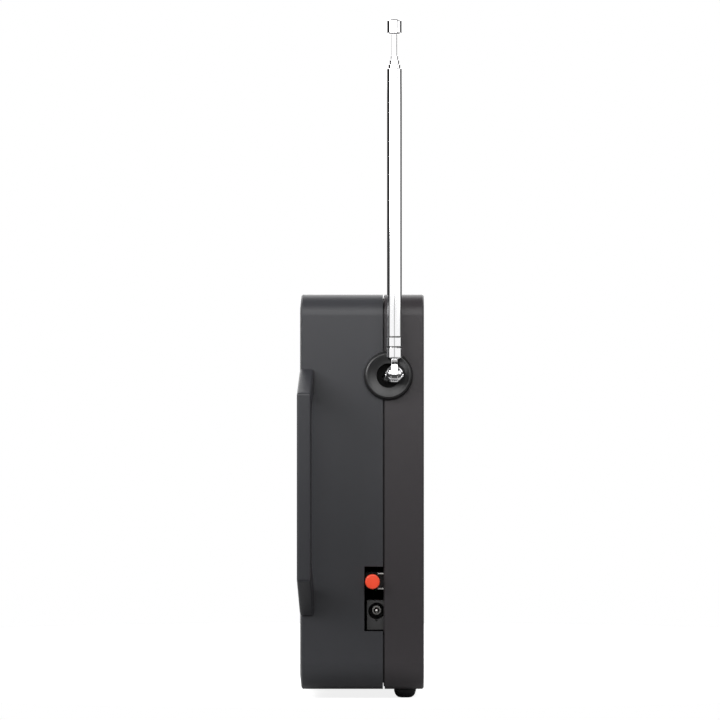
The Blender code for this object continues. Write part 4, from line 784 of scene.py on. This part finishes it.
class RADIO_OT_grille(bpy.types.Operator):
    """The perforated sheet over the loudspeaker, with a raised border"""

    bl_idname = "radio.grille"
    bl_label = "Speaker grille"

    def execute(self, context):
        look = context.scene.radio_grille
        low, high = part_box("speaker_grille")
        centre, size = middle("speaker_grille"), span("speaker_grille")
        paint = painted_mesh(tuple(look.paint))
        sheet = perforated_plate().grow(
            "speaker_grille_sheet",
            paint,
            width=size.x,
            height=size.z,
            corner=look.corner,
            thickness=size.y - look.rim_height,
            pitch=look.pitch,
            hole=look.hole,
            border=look.border,
            place=(centre.x, high[1], centre.z),
        )
        stands_for(sheet, "speaker_grille")
        outline = rounded_outline((low[0], low[2]), (high[0], high[2]), look.corner)
        hole = rounded_outline(
            (low[0] + look.rim, low[2] + look.rim),
            (high[0] - look.rim, high[2] - look.rim),
            look.corner - look.rim,
        )
        sunk = 0.1 * MM
        rim = framed(outline, hole, low[1], low[1] + look.rim_height + sunk)
        rim = piece("speaker_grille_border", rim, paint)
        detail_on(soften(rim, 0.12 * MM, 3), "speaker_grille")
        return {"FINISHED"}


def framed(outer, inner, near, far):
    """A flat frame between two outlines with as many points, from Y near to Y far."""
    bm = bmesh.new()
    loops = [
        [bm.verts.new((x, y, z)) for x, z in outline]
        for outline, y in ((outer, near), (outer, far), (inner, far), (inner, near))
    ]
    for first, second in zip(loops, loops[1:] + loops[:1]):
        for k, corner in enumerate(first):
            after = (k + 1) % len(first)
            bm.faces.new((corner, first[after], second[after], second[k]))
    return bm


def row_of_bars():
    """Equal bars in a row, each a block of the given size."""
    tree = Tree(
        "row_of_bars",
        count=10,
        step=(0.001, 0.0, 0.0),
        size=(0.0003, 0.0001, 0.003),
        start=(0.0, 0.0, 0.0),
    )
    ends = {"Start Location": tree.input("start"), "Offset": tree.input("step")}
    line = tree.node("GeometryNodeMeshLine", inputs={"Count": tree.input("count"), **ends})
    bar = tree.node("GeometryNodeMeshCube", inputs={"Size": tree.input("size")})
    bars = tree.node("GeometryNodeInstanceOnPoints", inputs={"Points": line, "Instance": bar})
    return tree.end(bars)


def digits(text, size, place, material):
    """A number of the dial as a thin solid object, facing -Y, centred on its place."""
    curve = bpy.data.curves.new(f"number_{text}", "FONT")
    curve.body = text
    curve.size = size
    curve.extrude = INK_THICKNESS / 2
    curve.align_x = "CENTER"
    curve.align_y = "CENTER"
    written = show(bpy.data.objects.new(f"number_{text}", curve))
    mesh = evaluated(written)
    drop(written)
    mesh.transform(Matrix.Translation(place) @ Matrix.Rotation(math.pi / 2, 4, "X"))
    mesh.materials.clear()
    mesh.materials.append(material)
    return show(bpy.data.objects.new(f"number_{text}", mesh))


def joined(name, material, parts):
    """Several objects as one, in their place."""
    bm = bmesh.new()
    for part in parts:
        bm.from_mesh(part.data)
        drop(part)
    made = bpy.data.meshes.new(name)
    bm.to_mesh(made)
    bm.free()
    made.materials.append(material)
    return show(bpy.data.objects.new(name, made))


class RADIO_OT_dial(bpy.types.Operator):
    """The dial card with its marks and numbers, the pointer and the window"""

    bl_idname = "radio.dial"
    bl_label = "Dial"

    UPPER = ("88", "92", "96", "100", "104", "108")
    LOWER = ("530", "600", "750", "950", "1200", "1600")
    MINOR = 5
    SHARE = 0.8
    HALF_GAP = 2.2 * MM
    TICK_WIDTH = 0.35 * MM
    RULE_WIDTH = 0.3 * MM
    RULE_PAST_END = 2 * MM

    def execute(self, context):
        look = context.scene.radio_dial
        coat(dial_card(), "dial_scale")
        coat(clear_acrylic(), "dial_lens")
        refined("dial_pointer", gloss_plastic("pointer_paint", (0.75, 0.035, 0.02), 0.3), 0.1 * MM)
        refined("indicator_lamp", gloss_plastic("lamp_plastic", (0.55, 0.012, 0.01), 0.12), 0.1 * MM)
        low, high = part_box("dial_scale")
        ink = printed_ink(tuple(look.ink))
        level = low[1] - INK_THICKNESS / 2
        reach = self.SHARE * (high[0] - low[0]) / 2
        step = 2 * reach / (len(self.UPPER) - 1)
        centre = middle("dial_scale")
        bars = row_of_bars()
        parts = []
        for side, numbers in ((1, self.UPPER), (-1, self.LOWER)):
            edge = centre.z + side * self.HALF_GAP
            short = (0.55, self.MINOR * (len(numbers) - 1) + 1, step / self.MINOR)
            for share, count, gap in ((1.0, len(numbers), step), short):
                tall = look.tick * share
                marks = bars.grow(
                    f"marks_{side}_{count}",
                    ink,
                    count=count,
                    step=(gap, 0.0, 0.0),
                    size=(self.TICK_WIDTH, INK_THICKNESS, tall),
                    start=(-reach, level, edge + side * tall / 2),
                )
                parts.append(marks)
            for k, text in enumerate(numbers):
                place = (-reach + k * step, level, edge + side * (look.tick + look.digit * 0.75))
                parts.append(digits(text, look.digit, place, ink))
            rule = bars.grow(
                f"rule_{side}",
                ink,
                count=1,
                step=(0.0, 0.0, 0.0),
                size=(2 * (reach + self.RULE_PAST_END), INK_THICKNESS, self.RULE_WIDTH),
                start=(0.0, level, edge - side * self.RULE_WIDTH / 2),
            )
            parts.append(rule)
        detail_on(joined("dial_print", ink, parts), "dial_scale")
        return {"FINISHED"}


class RADIO_OT_controls(bpy.types.Operator):
    """The thumbwheels and the band switch"""

    bl_idname = "radio.controls"
    bl_label = "Wheels and band switch"

    def execute(self, context):
        look = context.scene.radio_controls
        black = gloss_plastic("control_plastic", (0.018, 0.018, 0.02), 0.2)
        for node in ("tuning_wheel", "volume_wheel"):
            refined(node, black, 0.12 * MM)
        refined("band_switch_knob", black, 0.2 * MM)
        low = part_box("band_switch_knob")[0]
        size = span("band_switch_knob")
        gap = size.x / (look.ribs + 1)
        proud = 0.05 * MM
        ribs = row_of_bars().grow(
            "band_switch_ribs",
            black,
            count=look.ribs,
            step=(gap, 0.0, 0.0),
            size=(0.35 * MM, 0.3 * MM, size.z * 0.7),
            start=(low[0] + gap, low[1] - proud, middle("band_switch_knob").z),
        )
        detail_on(soften(ribs, 0.08 * MM), "band_switch_knob")
        return {"FINISHED"}


class RADIO_OT_power_panel(bpy.types.Operator):
    """The red power button, its switch and the power inlet in the cut-out"""

    bl_idname = "radio.power_panel"
    bl_label = "Power button and inlet"

    def execute(self, context):
        look = context.scene.radio_controls
        low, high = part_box("power_button")
        radius = (high[1] - low[1]) / 2
        edge = 0.5 * MM
        profile = [(0, low[0])] + arc((radius - edge, low[0] + edge), edge, -90, 0)
        profile += [(radius, high[0]), (0, high[0])]
        turned_for("power_button", "power_button_cap", "X", profile, red_cap(tuple(look.cap_colour)))
        # The switch frame is painted dark as shade deeper than this from its outer face.
        unshaded_depth = 1.5 * MM
        steel = bracket_steel(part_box("power_switch_frame")[0][0] + unshaded_depth)
        refined("power_switch_frame", steel, 0.08 * MM)
        inner = moulded("switch_plastic", (0.006, 0.006, 0.0065), 0.5)
        refined("power_switch_body", inner, 0.15 * MM)
        refined("power_button_stem", moulded("stem_plastic", (0.5, 0.5, 0.48), 0.45), 0.1 * MM)
        refined("dc_jack_body", moulded("inlet_plastic", (0.035, 0.035, 0.035), 0.48), 0.15 * MM)
        self.centre_pin()
        return {"FINISHED"}

    def centre_pin(self):
        """The inlet's pin: a round-nosed rod on a collar."""
        low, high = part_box("dc_jack_pin")
        collar = (high[2] - low[2]) / 2
        pin = 1.05 * MM
        step = high[0] - 1.5 * MM
        profile = arc((0, low[0] + pin), pin, -90, 0, 9)
        profile += [(pin, step), (collar, step), (collar, high[0]), (0, high[0])]
        plate = zinc_steel("pin_plate", (0.5, 0.49, 0.47), 0.2)
        turned_for("dc_jack_pin", "dc_jack_pin_round", "X", profile, plate, 40)


class RADIO_OT_antenna(bpy.types.Operator):
    """The turret, the clevis and the telescopic antenna"""

    bl_idname = "radio.antenna"
    bl_label = "Antenna"

    SPIGOT = 4 * MM
    GROOVES = (0.1 * MM, 3.9 * MM)
    GROOVE_WIDTH = 0.6 * MM
    TUBE_WALL = 0.25 * MM
    TUBE_ROLL = 0.2 * MM
    ROD_EDGE = 0.15 * MM
    TIP_EDGE = 0.8 * MM
    TIP_BORE = 3 * MM
    DISC_TAPER = 0.45 * MM
    DISC_HOLE = 4.4 * MM
    DISC_HOLE_DEPTH = 2 * MM
    DISC_NECK = 6.5 * MM
    DISC_CROWN = 0.75 * MM
    DISC_SKIRT = 1.0 * MM
    DISH = (1.15 * MM, 0.85 * MM, 0.42 * MM)
    DISH_EDGE = 2.2 * MM
    HOLE_EDGE = 0.25 * MM

    def execute(self, context):
        bright = chrome("bright_chrome")
        self.turret()
        refined("antenna_clevis", bright, 0.12 * MM)
        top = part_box("antenna_knuckle")[1][2] - self.SPIGOT
        grooves = [top - depth for depth in self.GROOVES]
        refined("antenna_knuckle", chrome("ringed_chrome", grooves, self.GROOVE_WIDTH / 2), 0.1 * MM)
        refined("elbow_pin", zinc_steel("pin_steel"), 0.1 * MM)
        for number in range(1, 5):
            self.tube(f"antenna_tube_{number}", bright)
        self.rod(bright)
        self.tip(bright)
        return {"FINISHED"}

    def turret(self):
        """The dished disc: a rounded rim, a shallow cone down to the hole, and a neck through the wall."""
        low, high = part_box("antenna_turret")
        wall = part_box("rear_shell")[0][0]
        base = (high[2] - low[2]) / 2
        rim = base - self.DISC_TAPER
        face = low[0]
        hole, crown = self.DISC_HOLE, self.DISC_CROWN
        floor = wall + self.DISC_HOLE_DEPTH
        seat = wall - CLEARANCE
        profile = [(0, floor), (hole, floor), (hole, face + self.DISH[0])]
        profile += [(hole + self.HOLE_EDGE, face + self.DISH[1]), (rim - self.DISH_EDGE, face + self.DISH[2])]
        profile += arc((rim - crown, face + crown), crown, -125, -15, 10)
        profile += [(base, wall - self.DISC_SKIRT), (base, seat), (self.DISC_NECK, seat)]
        profile += [(self.DISC_NECK, high[0]), (0, high[0])]
        gloss = turret_plastic(middle("antenna_turret"), hole)
        turned_for("antenna_turret", "antenna_turret_disc", "X", profile, gloss, 96)

    def tube(self, node, bright):
        """An open tube whose upper edge is rolled in."""
        low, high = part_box(node)
        outer = (high[0] - low[0]) / 2
        inner = outer - self.TUBE_WALL
        roll = self.TUBE_ROLL
        profile = [(inner, low[2]), (outer, low[2])]
        profile += arc((outer - roll, high[2] - roll), roll, 0, 90)
        profile += [(inner, high[2])]
        turned_for(node, f"{node}_bright", "Z", profile, bright, closed=True, level=True)

    def rod(self, bright):
        """The thin end section, with its upper edge rounded."""
        low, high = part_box("antenna_rod")
        radius = (high[0] - low[0]) / 2
        edge = self.ROD_EDGE
        profile = [(0, low[2]), (radius, low[2])]
        profile += arc((radius - edge, high[2] - edge), edge, 0, 90, 3)
        profile += [(0, high[2])]
        turned_for("antenna_rod", "antenna_rod_bright", "Z", profile, bright, 48, level=True)

    def tip(self, bright):
        """The knob on the end, with rounded edges and a blind hole for the rod."""
        low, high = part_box("antenna_tip")
        radius = (high[0] - low[0]) / 2
        edge = self.TIP_EDGE
        bore = span("antenna_rod").x / 2 + 0.12 * MM
        profile = [(0, low[2] + self.TIP_BORE), (bore, low[2] + self.TIP_BORE), (bore, low[2])]
        profile += arc((radius - edge, low[2] + edge), edge, -90, 0)
        profile += arc((radius - edge, high[2] - edge), edge, 0, 90)
        profile += [(0, high[2])]
        turned_for("antenna_tip", "antenna_tip_bright", "Z", profile, bright, level=True)


def on_each_point():
    """The chosen object, once on every point."""
    tree = Tree("on_each_point")
    shape = tree.node("GeometryNodeObjectInfo", inputs={"Object": tree.input("instance")}, output="Geometry")
    copies = tree.node(
        "GeometryNodeInstanceOnPoints", inputs={"Points": tree.input("Geometry"), "Instance": shape}
    )
    return tree.end(copies)


class RADIO_OT_back(bpy.types.Operator):
    """The battery door with its finger ribs, and the case screws"""

    bl_idname = "radio.back"
    bl_label = "Battery door and screws"

    RIB = (14 * MM, 0.8 * MM, 0.5 * MM)
    RIB_PITCH = 1.1 * MM
    RIBS_FROM_TOP = 2.5 * MM
    HEAD = 2.8 * MM
    HEAD_HEIGHT = 1.8 * MM
    HEAD_CURVE = ((0, 1.2 * MM), (0.3 * MM, 0.6 * MM), (1.1 * MM, 0.12 * MM))
    SHANK = 1.2 * MM
    THREAD = 0.45 * MM
    THREAD_DEPTH = 0.15 * MM
    PLAIN = 1.5 * MM
    POINT = 1.2 * MM
    RECESS = (2.6 * MM, 0.55 * MM)
    RECESS_DEPTH = 1.2 * MM

    def execute(self, context):
        look = context.scene.radio_cabinet
        material = moulded("door_plastic", tuple(look.rear_colour), look.roughness)
        refined("battery_door", material, look.edge)
        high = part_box("battery_door")[1]
        ribs = row_of_bars().grow(
            "battery_door_ribs",
            material,
            count=6,
            step=(0.0, 0.0, -self.RIB_PITCH),
            size=self.RIB,
            start=(middle("battery_door").x, high[1], high[2] - self.RIBS_FROM_TOP),
        )
        detail_on(soften(ribs, 0.2 * MM, 3), "battery_door")
        self.screws()
        return {"FINISHED"}

    def screws(self):
        nodes = [f"case_screw_{number}" for number in range(1, 5)]
        steel = zinc_steel("screw_steel")
        low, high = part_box(nodes[0])
        shape = self.screw(high[1] - low[1], steel)
        ends = [(middle(node).x, high[1], middle(node).z) for node in nodes]
        made = on_each_point().grow("case_screws", steel, ends, instance=shape)
        drop(shape)
        shade(made.data)
        stands_for(made, *nodes)

    def screw(self, length, steel):
        """A pan-head screw that ends at the origin, with a cross recess and a threaded shank along -Y."""
        head, shank, under = self.HEAD, self.SHANK, -self.HEAD_HEIGHT
        turns = int((length - self.HEAD_HEIGHT - self.PLAIN) / (2 * self.THREAD))
        profile = [(0, -length), (shank * 0.4, -length + self.POINT / 3)]
        for k in range(turns):
            start = -length + self.POINT + 2 * self.THREAD * k
            profile += [(shank - self.THREAD_DEPTH, start), (shank, start + self.THREAD)]
        profile += [(shank - 0.1 * MM, under), (head, under)]
        profile += [(head - inset, -depth) for inset, depth in self.HEAD_CURVE] + [(0, 0)]
        made = piece("screw_shape", turned(profile, "Y", (0, 0, 0), 32), steel)
        cross = bmesh.new()
        for wide, tall in (self.RECESS, reversed(self.RECESS)):
            arm = Matrix.Diagonal((wide, 2 * self.RECESS_DEPTH, tall, 1))
            bmesh.ops.create_cube(cross, size=1, matrix=arm)
        blades = piece("screw_recess", cross, steel)
        cut = made.modifiers.new("recess", "BOOLEAN")
        cut.operation = "DIFFERENCE"
        cut.use_self = True
        cut.object = blades
        applied(made)
        drop(blades)
        return made


class RADIO_OT_inside(bpy.types.Operator):
    """The pieces inside, which keep their shape and get their finish"""

    bl_idname = "radio.inside"
    bl_label = "Inner pieces"

    def execute(self, context):
        coat(circuit_board(), "main_board", "power_board")
        coat(ferrite(), "ferrite_rod", "speaker_magnet")
        coat(copper_winding(), "aerial_coil")
        coat(paper_cone(), "speaker_cone")
        coat(
            zinc_steel("frame_steel"),
            "speaker_frame",
            "dial_chassis",
            "band_switch_body",
            "volume_control",
            "turret_retainer",
            "battery_contact_left",
            "battery_contact_right",
            "battery_spring_left",
            "battery_spring_right",
            *[f"board_screw_{number}" for number in range(1, 6)],
        )
        white = moulded("natural_plastic", (0.62, 0.62, 0.59), 0.45)
        coat(white, "tuning_drum", "tuning_capacitor", "aerial_holder")
        black = moulded("inner_plastic", (0.012, 0.012, 0.013), 0.5)
        coat(black, "headphone_jack", "battery_tray")
        return {"FINISHED"}


class RADIO_OT_stage(bpy.types.Operator):
    """The floor, the lights, the surroundings and the camera"""

    bl_idname = "radio.stage"
    bl_label = "Studio"

    PICTURE_MARGIN = 1.0595
    CAMERA_SHIFT = 0.24 * MM
    FLOOR_X = 0.15
    FLOOR_RADIUS = 0.31
    END_PANELS = {"end_panel_left": (0.028, 0.36), "end_panel_right": (-0.24, 0.003)}
    END_PANEL_X = -0.42
    END_PANEL_Z = 0.285
    END_WIDTH = 0.6
    END_HEIGHT = 0.26
    REAR_SIDE = ((0.3, 0.3), (-0.38, 0.48, 0.34), -150)
    FRONT_SIDE = ((0.5, 0.3), (-0.3, -0.5, 0.3), 0)
    FRONT_SHARE = 0.2
    BRIGHT_END = ((0.62, 0.03), (0.8, 1.0))
    BRIGHTNESS = 2.4
    EYE_BAND = 0.05
    GAP_BAND = 0.2
    GAPS = ((0.05, 0.21, 0.04), (0.49, 0.51, 0.5), (0.73, 0.94, 0.04))
    FADE = 0.02

    def execute(self, context):
        look = context.scene.radio_studio
        context.scene.view_settings.view_transform = "Standard"
        self.floor()
        self.surroundings(context.scene)
        self.end_panels(look.panel)
        self.panel("rear_side_panel", look.side_panel, *self.REAR_SIDE)
        self.panel("front_side_panel", look.side_panel * self.FRONT_SHARE, *self.FRONT_SIDE)
        self.overhead(look.overhead)
        self.camera(context.scene, look.distance)
        return {"FINISHED"}

    def floor(self):
        """A round pale floor, brighter to the camera than to the radio."""
        finish = Finish("pale_floor")
        finish.set(base_color=(0.4, 0.4, 0.4), roughness=0.8)
        seen = finish.node("ShaderNodeLightPath", output="Is Camera Ray")
        finish.set(emission_color=WHITE, emission_strength=seen * 0.85)
        bm = bmesh.new()
        centre = Matrix.Translation((self.FLOOR_X, 0, 0))
        bmesh.ops.create_circle(bm, cap_ends=True, radius=self.FLOOR_RADIUS, segments=96, matrix=centre)
        piece("floor", bm, finish.material)

    def panel(self, name, power, size, place, turn):
        """An upright soft panel; a turn of 0 faces +Y, and -90 faces +X."""
        lamp = bpy.data.lights.new(name, "AREA")
        lamp.shape = "RECTANGLE"
        lamp.size, lamp.size_y = size
        lamp.energy = power
        made = show(bpy.data.objects.new(name, lamp))
        made.location = place
        made.rotation_euler = (math.pi / 2, 0, math.radians(turn))
        made.visible_camera = False

    def end_panels(self, power):
        """One wide panel in two parts; the slit between them draws a fine line down the bright tubes."""
        tubes = middle("antenna_rod").y
        for name, (near, far) in self.END_PANELS.items():
            width = far - near
            place = (self.END_PANEL_X, tubes + (near + far) / 2, self.END_PANEL_Z)
            self.panel(name, power * width / self.END_WIDTH, (width, self.END_HEIGHT), place, -90)

    def overhead(self, strength):
        """One wide soft light from above, left out of reflections."""
        lamp = bpy.data.lights.new("overhead", "SUN")
        lamp.angle = math.radians(60)
        lamp.energy = strength
        made = show(bpy.data.objects.new("overhead", lamp))
        made.visible_glossy = False
        made.rotation_euler = (0, math.radians(12), 0)

    def surroundings(self, scene):
        """White to look at. What lights the radio is dark but for a bright end and a thin band at eye level,
        which stops at two gaps and dims straight ahead, where a camera would stand."""
        world = bpy.data.worlds.new("surroundings")
        world.use_nodes = True
        scene.world = world
        nodes = Nodes(world.node_tree)
        way = nodes.node("ShaderNodeTexCoord", output="Generated")
        x, y, z = (nodes.split(way, axis) for axis in "XYZ")
        behind = nodes.ramp(x * 0.5 + 0.5, *self.BRIGHT_END) * self.BRIGHTNESS
        eye_level = (abs(z) < self.EYE_BAND) * (1 - behind)
        turn = y.math("ARCTAN2", y, 0 - x) / FULL_TURN + 0.5
        stops = []
        for start, end, dark in self.GAPS:
            stops += [(start - self.FADE, 1.0), (start, dark), (end, dark), (end + self.FADE, 1.0)]
        gaps = nodes.ramp(turn, *stops)
        band = abs(z) < self.GAP_BAND
        lit = (behind + eye_level) * (1 - band * (1 - gaps))
        seen = nodes.node("ShaderNodeLightPath", output="Is Camera Ray")
        strength = seen + (1 - seen) * lit
        background = nodes.tree.nodes["Background"]
        nodes.tree.links.new(strength.link, background.inputs["Strength"])
        background.inputs["Color"].default_value = (*WHITE, 1)

    def camera(self, scene, distance):
        """Level with the middle of the radio, square on to the end wall that carries the antenna."""
        low, high = (Vector(corner) for corner in CAD_BOX)
        end_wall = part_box("rear_shell")[0][0]
        centre = (low + high) / 2
        optics = bpy.data.cameras.new("camera")
        optics.lens = optics.sensor_width * distance / (self.PICTURE_MARGIN * (high.z - low.z))
        made = show(bpy.data.objects.new("camera", optics))
        made.location = (end_wall - distance, centre.y + self.CAMERA_SHIFT, centre.z)
        made.rotation_euler = (math.pi / 2, 0, -math.pi / 2)
        scene.camera = made


class RADIO_PT_sidebar(bpy.types.Panel):
    """Lists the pieces and their sizes"""

    bl_idname = "RADIO_PT_sidebar"
    bl_label = "Tabletop radio"
    bl_space_type = "VIEW_3D"
    bl_region_type = "UI"
    bl_category = "Radio"

    def draw(self, context):
        for name in LOOKS:
            group = getattr(context.scene, name)
            box = self.layout.box()
            for field in group.__annotations__:
                box.prop(group, field)
        for operator in OPERATORS:
            self.layout.operator(operator.bl_idname)


LOOKS = {
    "radio_cabinet": CabinetLook,
    "radio_grille": GrilleLook,
    "radio_dial": DialLook,
    "radio_controls": ControlLook,
    "radio_studio": StudioLook,
}
OPERATORS = (
    RADIO_OT_shells,
    RADIO_OT_grips,
    RADIO_OT_feet,
    RADIO_OT_grille,
    RADIO_OT_dial,
    RADIO_OT_controls,
    RADIO_OT_power_panel,
    RADIO_OT_antenna,
    RADIO_OT_back,
    RADIO_OT_inside,
    RADIO_OT_stage,
)


def register():
    for made in (*LOOKS.values(), *OPERATORS, RADIO_PT_sidebar):
        bpy.utils.register_class(made)
    for name, group in LOOKS.items():
        setattr(bpy.types.Scene, name, PointerProperty(type=group))


def unregister():
    for name in LOOKS:
        delattr(bpy.types.Scene, name)
    for made in (RADIO_PT_sidebar, *reversed(OPERATORS), *reversed(list(LOOKS.values()))):
        bpy.utils.unregister_class(made)


def main():
    register()
    for operator in OPERATORS:
        group, name = operator.bl_idname.split(".")
        getattr(getattr(bpy.ops, group), name)()


if __name__ == "__main__":
    main()
